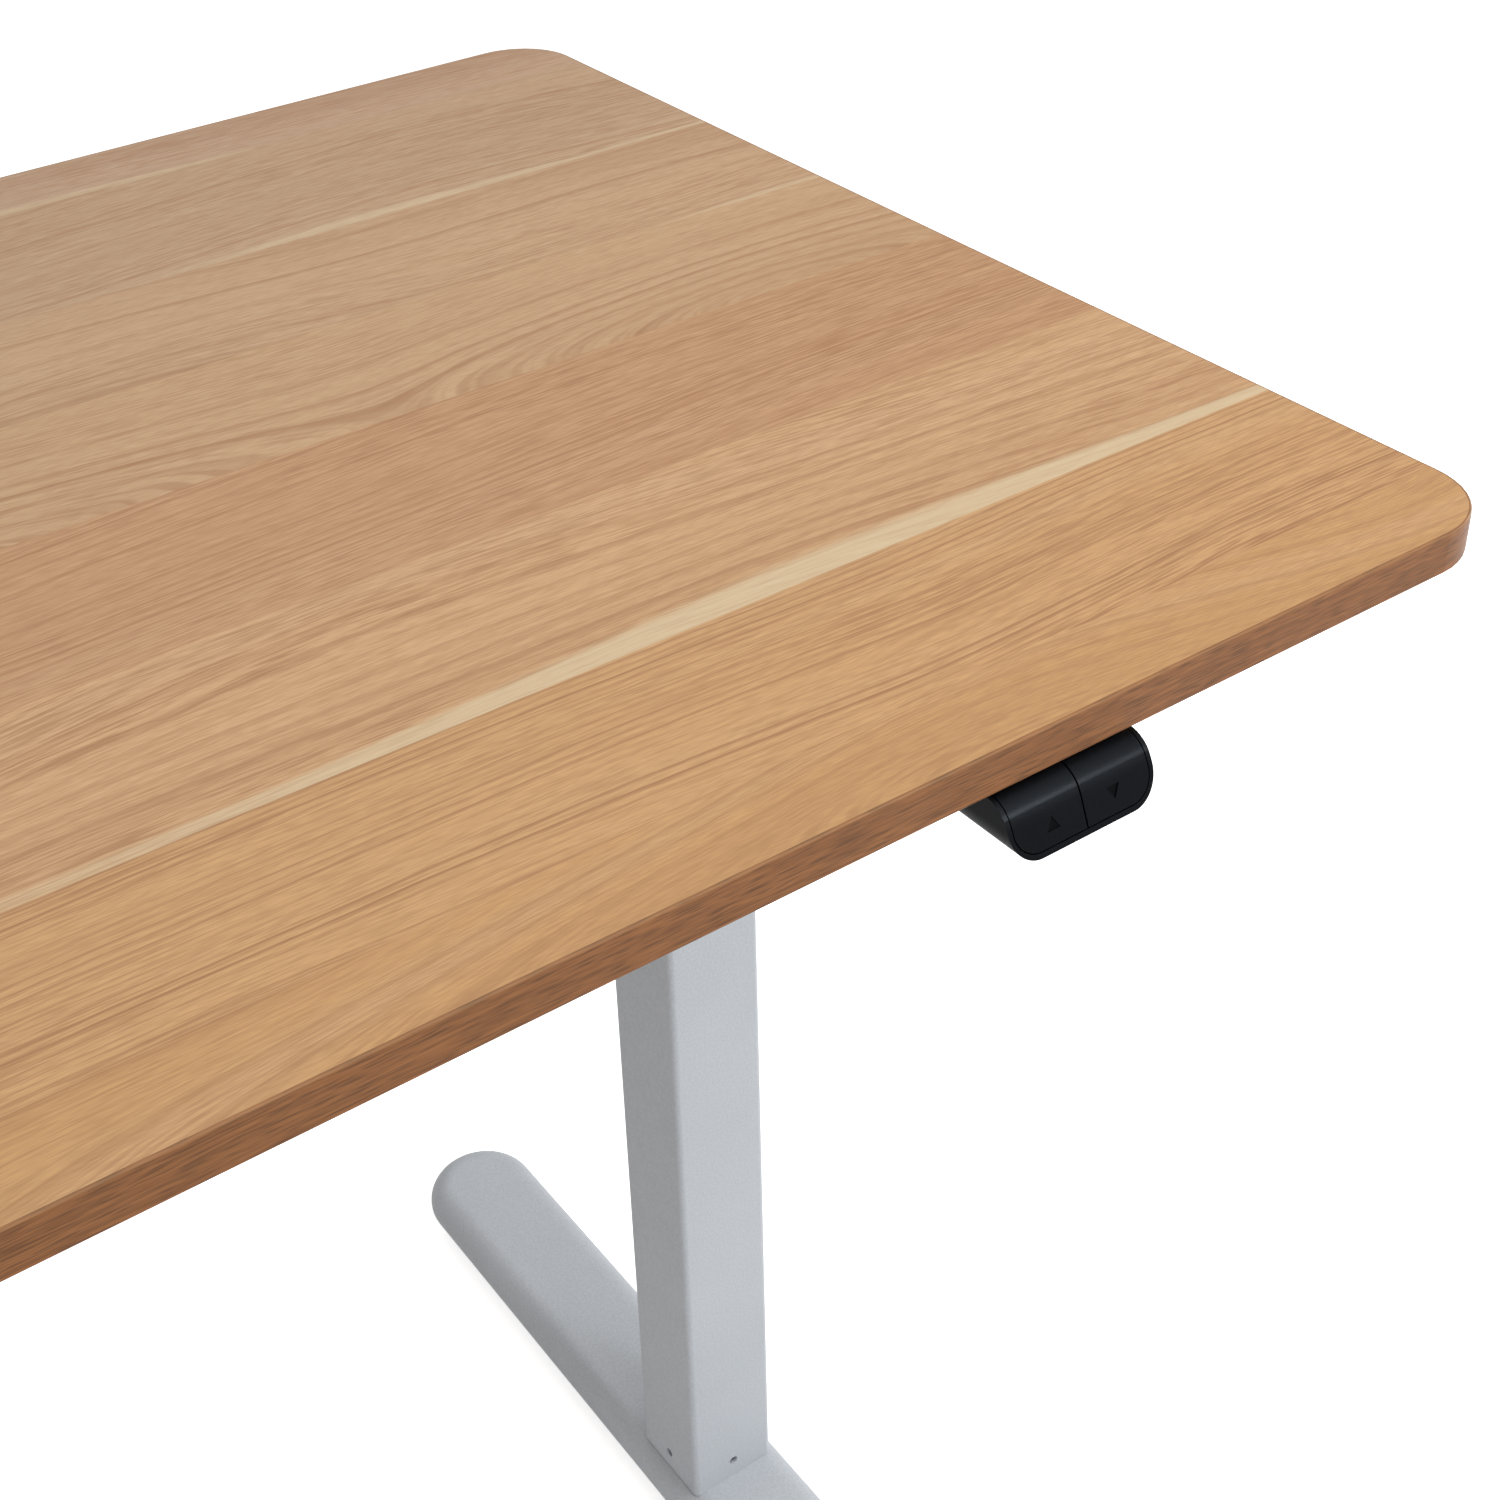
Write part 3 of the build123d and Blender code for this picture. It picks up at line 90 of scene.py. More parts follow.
# Threads of the spindles and the plain journals above them, in metres: a flank lies between two shares of
# the way from root to crest, and an edge of more than turned_edge stays sharp
thread_lead = 0.008
thread_starts = 2
thread_depth = 0.0008
thread_chamfer = 0.003
thread_flank = (0.3, 0.7)
thread_sides = 24
rows_per_pitch = 6
journal_radius = 0.005
journal_length = 0.0233
journal_sides = 32
turned_edge = radians(40)

# Screws, in metres: the radius of each shank and the height of each head
wood_screw_shank = 0.0019
wood_screw_head = 0.0025
frame_bolt_shank = 0.003
frame_bolt_head = 0.004
foot_bolt_shank = 0.004
foot_bolt_head = 0.005
column_screw_head = 0.003

# Screw heads: their sides, their parts as shares of the head, and the points and notch of each drive.
# The shank of a column screw is a share of its head
head_sides = 24
shank_sides = 20
head_rim = 0.75
crown_width = 0.84
drive_width = 0.62
drive_depth = 0.6
column_shank_width = 0.96
Drive = namedtuple("Drive", "points notch")
cross_drive = Drive(4.0, 0.28)
star_drive = Drive(6.0, 0.09)

# Points that are closer than this are joined, in metres
weld_distance = 1e-6

# The top's print: eight planks from the front edge to the back, with straight joints between them.
# Each has its front joint, its tone on a screen, the strength of its rings and combed lines, how far its
# rings wander, how many there are in a metre, and one bow along its length, in metres. The tones are partly
# the print's colour and partly painted light: they turn greyer towards the back as a painted sheen, and hold
# the lamps' fall-off across the top
Plank = namedtuple("Plank", "front tone rings comb waves per_metre bow_middle bow_reach bow")
planks = (
    Plank(-0.3000, (205, 160, 109), 0.38, 0.35, 0.040, 100.0, 0.43, 0.16, 0.020),
    Plank(-0.2695, (209, 165, 116), 0.85, 1.00, 0.005, 300.0, 0.41, 0.14, -0.004),
    Plank(-0.1955, (213, 173, 130), 0.60, 0.70, 0.010, 110.0, 0.26, 0.40, 0.016),
    Plank(-0.1100, (202, 159, 120), 0.65, 0.80, 0.005, 230.0, 0.53, 0.48, 0.020),
    Plank(-0.0170, (205, 170, 132), 0.75, 0.35, 0.002, 140.0, 0.10, 0.30, 0.004),
    Plank(0.0640, (203, 170, 135), 0.50, 0.40, 0.016, 90.0, 0.25, 0.20, 0.014),
    Plank(0.1500, (199, 169, 138), 0.50, 0.50, 0.014, 130.0, 0.45, 0.30, 0.016),
    Plank(0.2560, (199, 169, 142), 0.55, 0.70, 0.005, 240.0, 0.30, 0.40, 0.010),
)
PlankLooks = namedtuple("PlankLooks", "tone rings comb waves per_metre number")
late_wood = (0.36, 0.175, 0.08, 1.0)
early_wood = (0.64, 0.42, 0.25, 1.0)
cream_wood = (0.69, 0.54, 0.345, 1.0)
grain_seed = 5.3

# A colour ramp holds 0 to 1, so a plank's larger or smaller numbers are scaled into it and back, and its
# place in the row is matched with some slack
ramp_waves = 10.0
ramp_rings = 1000.0
ramp_numbers = 10.0
number_slack = 0.1

# Ring lines: the step of their seed from plank to plank, the fine ones in a metre, the shares of a ring
# where its dark edge rises and drops, and the range of chance that sets its strength
ring_seed = 234.0
fine_rings = 520.0
ring_rise = (0.45, 0.92)
ring_drop = (0.94, 1.0)
ring_chance = (0.25, 1.0)

# Loops of rings in one plank about a point of its front joint, in metres: the plank's place in the row,
# the point, the slope and reach of the loops, how they fall beyond, and the faint middle
loop_plank = 4
loop_middle = 0.515
loop_slope = 0.204
loop_reach = 0.17
loop_ease = 0.06
loop_fall = 0.6
loop_pale = (0.006, 0.020)
loop_faint_rings = 0.9
loop_faint_comb = 0.85

# Cream streaks along the planks' front joints, in metres: the plank's place in the row, the width, how much
# it swells and where along the top, where the streak starts, is full and ends, how faint it starts, and how
# strong it is
Streak = namedtuple("Streak", "plank width swell middle reach start full end faint strength")
cream_streaks = (
    Streak(2, 0.0055, 0.0080, 0.40, 0.22, 0.02, 0.28, 0.65, 0.15, 1.00),
    Streak(6, 0.0030, 0.0040, 0.43, 0.12, 0.30, 0.40, 0.65, 0.00, 0.75),
    Streak(7, 0.0030, 0.0050, 0.25, 0.20, -0.05, 0.10, 0.38, 0.00, 0.60),
    Streak(5, 0.0020, 0.0020, 0.58, 0.06, 0.50, 0.56, 0.65, 0.00, 0.60),
)

# A cream streak's soft and sharp edges as shares of its width, its fade beyond its end in metres, and the
# range of noise that makes it ragged and what that leaves
cream_feather = (0.7, 1.15)
cream_joint = (-0.03, 0.03)
cream_fade = 0.06
ragged_noise = (0.3, 0.75)
ragged_cream = 0.75

# Finer marks of the print: their repeats in a metre along and across the planks, the detail of their noise,
# the range of it that they show in, their strength at its two ends, and whether they are smooth between
Marks = namedtuple("Marks", "repeats detail noise strength smooth")
ring_sway = Marks((2.2, 11.0, 1.0), 1.0, (0.2, 0.8), (-1 / ramp_waves, 1 / ramp_waves), False)
ring_wobble = Marks((14.0, 60.0, 1.0), 2.0, (0.2, 0.8), (-0.0008, 0.0008), False)
dark_bands = Marks((1.1, 42.0, 1.0), 3.0, (0.5, 0.75), (0.0, 0.2), True)
pale_bands = Marks((1.1, 42.0, 1.0), 3.0, (0.5, 0.25), (0.0, 0.3), True)
comb_patches = Marks((2.4, 34.0, 1.0), 2.0, (0.35, 0.6), (0.15, 1.0), False)
comb_gaps = Marks((9.0, 200.0, 1.0), 1.0, (0.36, 0.6), (0.3, 1.0), False)
pore_dashes = Marks((45.0, 1100.0, 1.0), 1.0, (0.45, 0.66), (0.0, 0.78), False)

# Haze between the lines, dashes where the combed lines are, and fibres over all: repeats in a metre, the
# ranges of noise that they show in, and their strength, less in the cream
haze_repeats = (6.0, 380.0, 1.0)
haze_noise = (0.46, 0.7)
haze_strength = 0.2
dash_comb = (0.1, 1.0)
dash_least = 0.35
fibre_stretch = (0.14, 1.5, 1.0)
fibres_per_metre = 1000.0
fibre_noise = (0.36, 0.68)
fibre_strength = 0.32
marks_in_cream = 0.3
pore_depth = 1.5

# The edge band's grain in a metre, and the painted highlight along its rounded upper edge, in metres below
# the top
edge_repeats = (55.0, 55.0, 1000.0)
edge_hair_scale = 1.7
edge_hair_noise = (0.48, 0.68)
edge_hair_strength = 0.75
edge_highlight_depths = (0.0009, 0.0004)
edge_highlight_strength = 0.35

# Shared effects: where most of a noise lies, the slow mottle beside the fine grain, smudges and tool marks
usual_noise = (0.3, 0.7)
slow_share = 0.03
mottle_weight = 0.25
mottle_range = (0.425, 0.825)
smudges_per_metre = 14.0
tool_hair_scale = 3.0

# Softened edges of the moulded handset, with the angles that count as sharp and flat, and the sunk arrows
# on its leaning buttons, in metres
case_edge = 0.0011
button_edge = 0.0005
edge_segments = 3
sharp_edge = radians(32)
flat_edge = radians(0.5)
arrow_half = 0.006
arrow_floor = 0.0003
arrow_blur = (0.00008, 0.00012)
arrow_top = 0.0110
button_lean = radians(22)
front_outward = Vector((0.0, -cos(button_lean), sin(button_lean)))

# Longer curve from the handset's front into its shoulder: its start above the case's lowest point, its
# cuts and their spacing, its bend in a metre, and the depths behind the front between which it fades out
roll_start = 0.010
roll_cuts = 7
roll_step = 0.0007
roll_bend = 26.0
roll_fade = (0.0050, 0.0075)


# Node helpers

def put(tree, kind, inputs=None, **settings):
    """Adds a node, sets its settings and gives each listed input a value or a link."""
    made = tree.nodes.new(kind)
    for name, value in settings.items():
        setattr(made, name, value)
    for name, value in (inputs or {}).items():
        if isinstance(value, bpy.types.NodeSocket):
            tree.links.new(value, made.inputs[name])
        else:
            made.inputs[name].default_value = value
    return made


def number(tree, operation, first, second=0.0):
    """One sum on one or two numbers or sockets."""
    return put(tree, "ShaderNodeMath", {0: first, 1: second}, operation=operation).outputs[0]


def product(tree, first, *others):
    """Several numbers or sockets multiplied together."""
    for other in others:
        first = number(tree, "MULTIPLY", first, other)
    return first


def same(tree, value, wanted):
    """1 where a whole number is the wanted one, 0 elsewhere."""
    inputs = {0: value, 1: float(wanted), 2: number_slack}
    return put(tree, "ShaderNodeMath", inputs, operation="COMPARE").outputs[0]


def span(tree, value, start, end, low=0.0, high=1.0, smooth=False):
    """Maps a value from start to end onto low to high, and holds it there beyond."""
    kind = "SMOOTHSTEP" if smooth else "LINEAR"
    inputs = {0: value, 1: start, 2: end, 3: low, 4: high}
    return put(tree, "ShaderNodeMapRange", inputs, interpolation_type=kind).outputs[0]


def blend_colours(tree, mask, first, second):
    """First colour where the mask is 0, second where it is 1."""
    return put(tree, "ShaderNodeMix", {0: mask, 6: first, 7: second}, data_type="RGBA").outputs[2]


def noise(tree, vector, scale, detail=2.0, roughness=0.5):
    """A noise between 0 and 1."""
    inputs = {"Vector": vector, "Scale": scale, "Detail": detail, "Roughness": roughness}
    return put(tree, "ShaderNodeTexNoise", inputs).outputs[0]


def stretched(tree, vector, per_metre):
    """Counts a pattern's repeats per metre along each axis."""
    return put(tree, "ShaderNodeMapping", {"Vector": vector, "Scale": per_metre}).outputs[0]


def marks(tree, vector, kind):
    """The strength of one kind of the print's finer marks."""
    pattern = noise(tree, stretched(tree, vector, kind.repeats), 1.0, detail=kind.detail)
    return span(tree, pattern, *kind.noise, *kind.strength, smooth=kind.smooth)


def point(tree, x=0.0, y=0.0, z=0.0):
    """A place or an offset from its three numbers or sockets."""
    return put(tree, "ShaderNodeCombineXYZ", {0: x, 1: y, 2: z}).outputs[0]


def axes_of(tree, vector):
    """The three numbers of a place."""
    return put(tree, "ShaderNodeSeparateXYZ", {0: vector}).outputs


def object_place(tree):
    """A point's place in the desk's own frame, in metres."""
    return put(tree, "ShaderNodeTexCoord").outputs["Object"]


def screen(red, green, blue):
    """A linear colour from the 0 to 255 values seen on a screen."""
    shares = [value / 255 for value in (red, green, blue)]
    linear = [s / 12.92 if s <= 0.04045 else ((s + 0.055) / 1.055) ** 2.4 for s in shares]
    return (*linear, 1.0)


def new_group(name, inputs, outputs):
    """A shader node group with named sockets, and its input and output nodes."""
    tree = bpy.data.node_groups.new(name, "ShaderNodeTree")
    for label, kind in inputs.items():
        tree.interface.new_socket(label, in_out="INPUT", socket_type=kind)
    for label in outputs:
        tree.interface.new_socket(label, in_out="OUTPUT", socket_type="NodeSocketFloat")
    return tree, put(tree, "NodeGroupInput"), put(tree, "NodeGroupOutput")


def place_group(tree, group, inputs):
    """Puts a shared node group into a material with its own values."""
    return put(tree, "ShaderNodeGroup", inputs, node_tree=group).outputs


# Shared effects

def make_fine_grain():
    """Fine bumps of paint or moulded plastic, with a slow mottle over them."""
    inputs = {"Place": "NodeSocketVector", "Per metre": "NodeSocketFloat"}
    tree, given, result = new_group("fine_grain", inputs, ("Height", "Mottle"))
    fine = noise(tree, given.outputs["Place"], given.outputs["Per metre"], detail=1.5)
    slow_scale = product(tree, given.outputs["Per metre"], slow_share)
    slow = noise(tree, given.outputs["Place"], slow_scale, detail=3.0)
    tree.links.new(fine, result.inputs["Height"])
    tree.links.new(slow, result.inputs["Mottle"])
    return tree


def make_smudges():
    """Broad patches that shift the gloss a little, as handling and light dust do."""
    inputs = {"Place": "NodeSocketVector", "Glossy": "NodeSocketFloat", "Dull": "NodeSocketFloat"}
    tree, given, result = new_group("smudges", inputs, ("Roughness",))
    patches = noise(tree, given.outputs["Place"], smudges_per_metre, detail=5.0, roughness=0.6)
    gloss = span(tree, patches, *usual_noise, given.outputs["Glossy"], given.outputs["Dull"])
    tree.links.new(gloss, result.inputs["Roughness"])
    return tree


def make_long_lines():
    """Thin lines, drawn out by their repeats along each axis: grain in a print, marks on turned metal."""
    inputs = {"Place": "NodeSocketVector", "Along": "NodeSocketVector", "Fine": "NodeSocketFloat"}
    tree, given, result = new_group("long_lines", inputs, ("Lines", "Hairs"))
    counted = put(tree, "ShaderNodeVectorMath", {0: given.outputs["Place"], 1: given.outputs["Along"]},
                  operation="MULTIPLY").outputs[0]
    lines = noise(tree, counted, 1.0, detail=2.0, roughness=0.55)
    hairs = noise(tree, counted, given.outputs["Fine"], detail=1.0)
    tree.links.new(lines, result.inputs["Lines"])
    tree.links.new(hairs, result.inputs["Hairs"])
    return tree


fine_grain = make_fine_grain()
smudges = make_smudges()
long_lines = make_long_lines()


def new_finish(name, plain=None):
    """A material with one Principled shader and its plain values set on the shader."""
    material = bpy.data.materials.new(name + "_finish")
    material.use_nodes = True
    shader = material.node_tree.nodes["Principled BSDF"]
    for socket, value in (plain or {}).items():
        shader.inputs[socket].default_value = value
    return material, material.node_tree, shader


def set_gloss(tree, shader, place, gloss):
    """Roughness that shifts in broad patches, from the glossy value to the dull one."""
    patches = place_group(tree, smudges, {"Place": place, "Glossy": gloss[0], "Dull": gloss[1]})
    tree.links.new(patches["Roughness"], shader.inputs["Roughness"])


def add_bump(tree, shader, height, strength, depth):
    """Bumps of a real depth in metres on the shader's normal."""
    bump = put(tree, "ShaderNodeBump", {"Height": height, "Strength": strength, "Distance": depth})
    tree.links.new(bump.outputs[0], shader.inputs["Normal"])


# Finishes

def by_plank(tree, y, colours):
    """A colour or three numbers that change from one printed plank to the next."""
    low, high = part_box("edge_band")
    ramp = put(tree, "ShaderNodeValToRGB", {0: span(tree, y, low.y, high.y)})
    ramp.color_ramp.interpolation = "CONSTANT"
    stops = ramp.color_ramp.elements
    stops.remove(stops[1])
    stops[0].color = colours[0]
    for plank, colour in zip(planks[1:], colours[1:]):
        stops.new((plank.front - low.y) / (high.y - low.y)).color = colour
    return ramp.outputs[0]


def plank_looks(tree, y):
    """The looks of the plank at a place across the top."""
    # The planks' tones hold painted light too: a painted sheen that greys them towards the back, and the
    # lamps' fall-off
    tone = by_plank(tree, y, [screen(*plank.tone) for plank in planks])
    looks = by_plank(tree, y, [(plank.rings, plank.comb, plank.waves * ramp_waves, 1.0) for plank in planks])
    rings, comb, waves = put(tree, "ShaderNodeSeparateColor", {0: looks}).outputs
    counts = by_plank(tree, y, [(plank.per_metre / ramp_rings, place_in_row / ramp_numbers, 0.0, 1.0)
                                for place_in_row, plank in enumerate(planks)])
    counted = put(tree, "ShaderNodeSeparateColor", {0: counts}).outputs
    per_metre = product(tree, counted[0], ramp_rings)
    return PlankLooks(tone, rings, comb, waves, per_metre, product(tree, counted[1], ramp_numbers))


def bell(tree, x, middle, reach, height):
    """A smooth hump along x: full height at its middle, nothing beyond its reach."""
    away = number(tree, "ABSOLUTE", number(tree, "SUBTRACT", x, middle))
    return span(tree, away, 0.0, reach, height, 0.0, smooth=True)


def plank_bows(tree, x, plank_number):
    """How far each plank's rings bow aside at a place along the top."""
    total = 0.0
    for place_in_row, plank in enumerate(planks):
        here = same(tree, plank_number, place_in_row)
        bow = bell(tree, x, plank.bow_middle, plank.bow_reach, plank.bow)
        total = number(tree, "ADD", product(tree, here, bow), total)
    return total


def loops(tree, x, y, plank_number):
    """Height across the grain, rounded about a point of a front joint where one plank's rings close.
    Also how clear its rings and its combed lines are: faint in the pale middle and among the loops."""
    up = number(tree, "SUBTRACT", y, planks[loop_plank].front)
    along = number(tree, "ABSOLUTE", number(tree, "SUBTRACT", x, loop_middle))
    falling = product(tree, along, loop_fall)
    beyond = number(tree, "SUBTRACT", loop_reach * (1 + loop_fall), falling)
    nearer = {0: along, 1: beyond, 2: loop_ease}
    eased = put(tree, "ShaderNodeMath", nearer, operation="SMOOTH_MIN").outputs[0]
    aside = product(tree, number(tree, "MAXIMUM", eased, 0.0), loop_slope)
    squares = number(tree, "ADD", product(tree, up, up), product(tree, aside, aside))
    looped = number(tree, "SQRT", squares)
    here = same(tree, plank_number, loop_plank)
    height = put(tree, "ShaderNodeMix", {0: here, 2: y, 3: looped}).outputs[0]
    inside = product(tree, here, bell(tree, x, loop_middle, loop_reach, 1.0))
    faint_rings = product(tree, inside, span(tree, looped, *loop_pale, loop_faint_rings, 0.0))
    faint_comb = product(tree, inside, loop_faint_comb)
    return height, number(tree, "SUBTRACT", 1.0, faint_rings), number(tree, "SUBTRACT", 1.0, faint_comb)


def ring_lines(tree, count, plank_number):
    """Dark ring edges: each rises slowly, ends sharply and has its own strength."""
    within = number(tree, "FRACT", count)
    rise = span(tree, within, *ring_rise, smooth=True)
    drop = span(tree, within, *ring_drop, 1.0, 0.0)
    ring = number(tree, "ADD", number(tree, "FLOOR", count), product(tree, plank_number, ring_seed))
    chance = put(tree, "ShaderNodeTexWhiteNoise", {"W": ring}, noise_dimensions="1D").outputs[0]
    return product(tree, rise, drop, span(tree, chance, *ring_chance))


def cream_streak(tree, x, y, streak):
    """A pale streak along a plank's front joint: sharp at the joint, feathered behind it."""
    widening = bell(tree, x, streak.middle, streak.reach, streak.swell)
    width = number(tree, "ADD", widening, streak.width)
    behind = number(tree, "SUBTRACT", y, planks[streak.plank].front)
    share = number(tree, "DIVIDE", behind, width)
    feather = span(tree, share, *cream_feather, 1.0, 0.0, smooth=True)
    sharp = span(tree, share, *cream_joint)
    faded = span(tree, x, streak.start, streak.full, streak.faint, 1.0, smooth=True)
    stopped = span(tree, x, streak.end, streak.end + cream_fade, streak.strength, 0.0, smooth=True)
    return product(tree, feather, sharp, faded, stopped)


def wood_laminate():
    """Printed light wood: planks with rings, loops and combed lines, and cream streaks at their joints."""
    material, tree, shader = new_finish("wood_laminate", {"Specular IOR Level": 0.24})
    place = object_place(tree)
    x, y, _ = axes_of(tree, place)
    plank = plank_looks(tree, y)

    seed = product(tree, plank.number, grain_seed)
    seeded = point(tree, x, y, seed)
    wander = product(tree, marks(tree, seeded, ring_sway), plank.waves)
    wavy = number(tree, "ADD", wander, marks(tree, seeded, ring_wobble))
    rounded, rings_clear, comb_clear = loops(tree, x, y, plank.number)
    bowed = number(tree, "SUBTRACT", rounded, plank_bows(tree, x, plank.number))
    height = number(tree, "ADD", bowed, wavy)
    grain_place = point(tree, x, height, seed)

    # Each plank's tone carries a painted sheen and fall-off as well as the print's colour
    shaded = blend_colours(tree, marks(tree, grain_place, dark_bands), plank.tone, late_wood)
    banded = blend_colours(tree, marks(tree, grain_place, pale_bands), shaded, early_wood)

    count = product(tree, height, plank.per_metre)
    rings = product(tree, ring_lines(tree, count, plank.number), plank.rings)
    combed = product(tree, marks(tree, grain_place, comb_patches), plank.comb, comb_clear)
    broken = product(tree, combed, marks(tree, grain_place, comb_gaps))
    fine_count = product(tree, height, fine_rings)
    fine = product(tree, ring_lines(tree, fine_count, plank.number), broken)
    lines = place_group(tree, long_lines, {"Place": grain_place, "Along": haze_repeats})["Lines"]
    hazy = product(tree, span(tree, lines, *haze_noise, 0.0, haze_strength, smooth=True), combed)
    strongest = number(tree, "MAXIMUM", rings, number(tree, "MAXIMUM", fine, hazy))
    grained = blend_colours(tree, product(tree, strongest, rings_clear), banded, late_wood)

    streaks = 0.0
    for streak in cream_streaks:
        streaks = number(tree, "MAXIMUM", cream_streak(tree, x, y, streak), streaks)
    ragged = span(tree, lines, *ragged_noise, 1.0, ragged_cream)
    creamed = blend_colours(tree, product(tree, streaks, ragged), grained, cream_wood)

    calm = span(tree, streaks, 0.0, 1.0, 1.0, marks_in_cream)
    dashes_here = product(tree, span(tree, combed, *dash_comb, dash_least, 1.0), calm)
    dashes = product(tree, marks(tree, grain_place, pore_dashes), dashes_here)
    dashed = blend_colours(tree, dashes, creamed, late_wood)
    fibre_place = stretched(tree, place, fibre_stretch)
    speck = place_group(tree, fine_grain, {"Place": fibre_place, "Per metre": fibres_per_metre})["Height"]
    fibres = product(tree, span(tree, speck, *fibre_noise, 0.0, fibre_strength), calm)
    tree.links.new(blend_colours(tree, fibres, dashed, late_wood), shader.inputs["Base Color"])

    set_gloss(tree, shader, place, (0.44, 0.52))
    relief = number(tree, "SUBTRACT", speck, product(tree, dashes, pore_depth))
    add_bump(tree, shader, relief, strength=0.3, depth=0.0001)
    return material


def edge_band():
    """Printed edge strip: darker than the top, with short grain along its run and a painted highlight along
    its rounded upper edge.
    """
    brown, dark_brown = screen(150, 99, 57), screen(121, 77, 42)
    hair_brown, highlight_brown = screen(90, 59, 36), screen(176, 134, 94)
    material, tree, shader = new_finish("edge_band", {"Specular IOR Level": 0.25})
    place = object_place(tree)
    lines = place_group(tree, long_lines, {"Place": place, "Along": edge_repeats, "Fine": edge_hair_scale})
    streaked = blend_colours(tree, span(tree, lines["Lines"], *usual_noise), brown, dark_brown)
    hairs = span(tree, lines["Hairs"], *edge_hair_noise, 0.0, edge_hair_strength)
    haired = blend_colours(tree, hairs, streaked, hair_brown)
    # Painted highlight: a paler strip just under the top, where the rounded edge catches the light
    highlight_from, highlight_to = (cad_high.z - depth for depth in edge_highlight_depths)
    height = axes_of(tree, place)[2]
    rim = span(tree, height, highlight_from, highlight_to, 0.0, edge_highlight_strength, smooth=True)
    tree.links.new(blend_colours(tree, rim, haired, highlight_brown), shader.inputs["Base Color"])
    set_gloss(tree, shader, place, (0.38, 0.48))
    add_bump(tree, shader, lines["Hairs"], strength=0.15, depth=0.0001)
    return material


def grained_finish(name, light, dark, per_metre, depth, gloss, plain=None):
    """Paint, casting or moulded plastic: mottled colour, fine bumps and patches of gloss."""
    material, tree, shader = new_finish(name, plain)
    place = object_place(tree)
    grain = place_group(tree, fine_grain, {"Place": place, "Per metre": per_metre})
    patchy = product(tree, grain["Mottle"], mottle_weight)
    mottle = span(tree, number(tree, "ADD", patchy, grain["Height"]), *mottle_range)
    tree.links.new(blend_colours(tree, mottle, light, dark), shader.inputs["Base Color"])
    set_gloss(tree, shader, place, gloss)
    add_bump(tree, shader, grain["Height"], strength=0.5, depth=depth)
    return material


def turned_finish(name, light, dark, along, gloss, plain):
    """Drawn or turned metal with fine tool marks."""
    material, tree, shader = new_finish(name, plain)
    place = object_place(tree)
    lines = place_group(tree, long_lines, {"Place": place, "Along": along, "Fine": tool_hair_scale})
    shade = span(tree, lines["Lines"], *usual_noise)
    tree.links.new(blend_colours(tree, shade, light, dark), shader.inputs["Base Color"])
    tree.links.new(span(tree, lines["Hairs"], *usual_noise, *gloss), shader.inputs["Roughness"])
    add_bump(tree, shader, lines["Hairs"], strength=0.2, depth=0.00003)
    return material


def powder_coat():
    """Satin silver-grey powder coat with a faint orange peel."""
    light, dark = screen(197, 202, 208), screen(184, 190, 196)
    return grained_finish("powder_coat", light, dark, per_metre=800.0, depth=0.00005, gloss=(0.36, 0.44),
                          plain={"Specular IOR Level": 0.4})


def cast_aluminium():
    """Die-cast housings, dull and slightly mottled."""
    light, dark = screen(188, 190, 193), screen(168, 170, 174)
    return grained_finish("cast_aluminium", light, dark, per_metre=900.0, depth=0.00008, gloss=(0.42, 0.55),
                          plain={"Metallic": 0.9})


def zinc_steel():
    """Bright zinc plating with a faint blue cast and a crystalline mottle."""
    light, dark = screen(204, 208, 214), screen(184, 189, 197)
    return grained_finish("zinc_steel", light, dark, per_metre=1500.0, depth=0.00002, gloss=(0.22, 0.34),
                          plain={"Metallic": 1.0})


def dark_screws():
    """Black zinc on screws."""
    light, dark = screen(62, 62, 66), screen(46, 46, 49)
    return grained_finish("dark_screws", light, dark, per_metre=1500.0, depth=0.00002, gloss=(0.3, 0.42),
                          plain={"Metallic": 0.8})


def guide_plastic():
    """Black acetal guides, slightly waxy."""
    light, dark = screen(44, 44, 46), screen(36, 36, 38)
    return grained_finish("guide_plastic", light, dark, per_metre=1200.0, depth=0.00003, gloss=(0.4, 0.5))


def nut_plastic():
    """Natural acetal, off-white."""
    light, dark = screen(232, 229, 218), screen(222, 218, 204)
    return grained_finish("nut_plastic", light, dark, per_metre=900.0, depth=0.00002, gloss=(0.35, 0.45),
                          plain={"Subsurface Weight": 0.1})


def machined_steel():
    """Turned and ground steel, lightly oiled."""
    light, dark = screen(196, 197, 200), screen(160, 161, 165)
    return turned_finish("machined_steel", light, dark, along=(900.0, 900.0, 900.0), gloss=(0.22, 0.34),
                         plain={"Metallic": 1.0})


def motor_paint():
    """Black baked enamel on the motor can."""
    light, dark = screen(42, 42, 45), screen(34, 34, 36)
    return grained_finish("motor_paint", light, dark, per_metre=800.0, depth=0.00003, gloss=(0.28, 0.4),
                          plain={"Coat Weight": 0.15})


def box_plastic():
    """Black moulded housing with a spark-eroded texture."""
    light, dark = screen(40, 40, 42), screen(33, 33, 35)
    return grained_finish("box_plastic", light, dark, per_metre=1600.0, depth=0.0001, gloss=(0.48, 0.58))


def satin_black(name):
    """The handset's satin black, a little blue in its sheen."""
    light, dark = screen(14, 16, 20), screen(10, 11, 14)
    return grained_finish(name, light, dark, per_metre=2200.0, depth=0.00008, gloss=(0.29, 0.35),
                          plain={"Specular IOR Level": 0.15, "Specular Tint": (0.8, 0.9, 1.0, 1.0)})


def handset_plastic():
    """Shell of the handset."""
    return satin_black("handset_plastic")


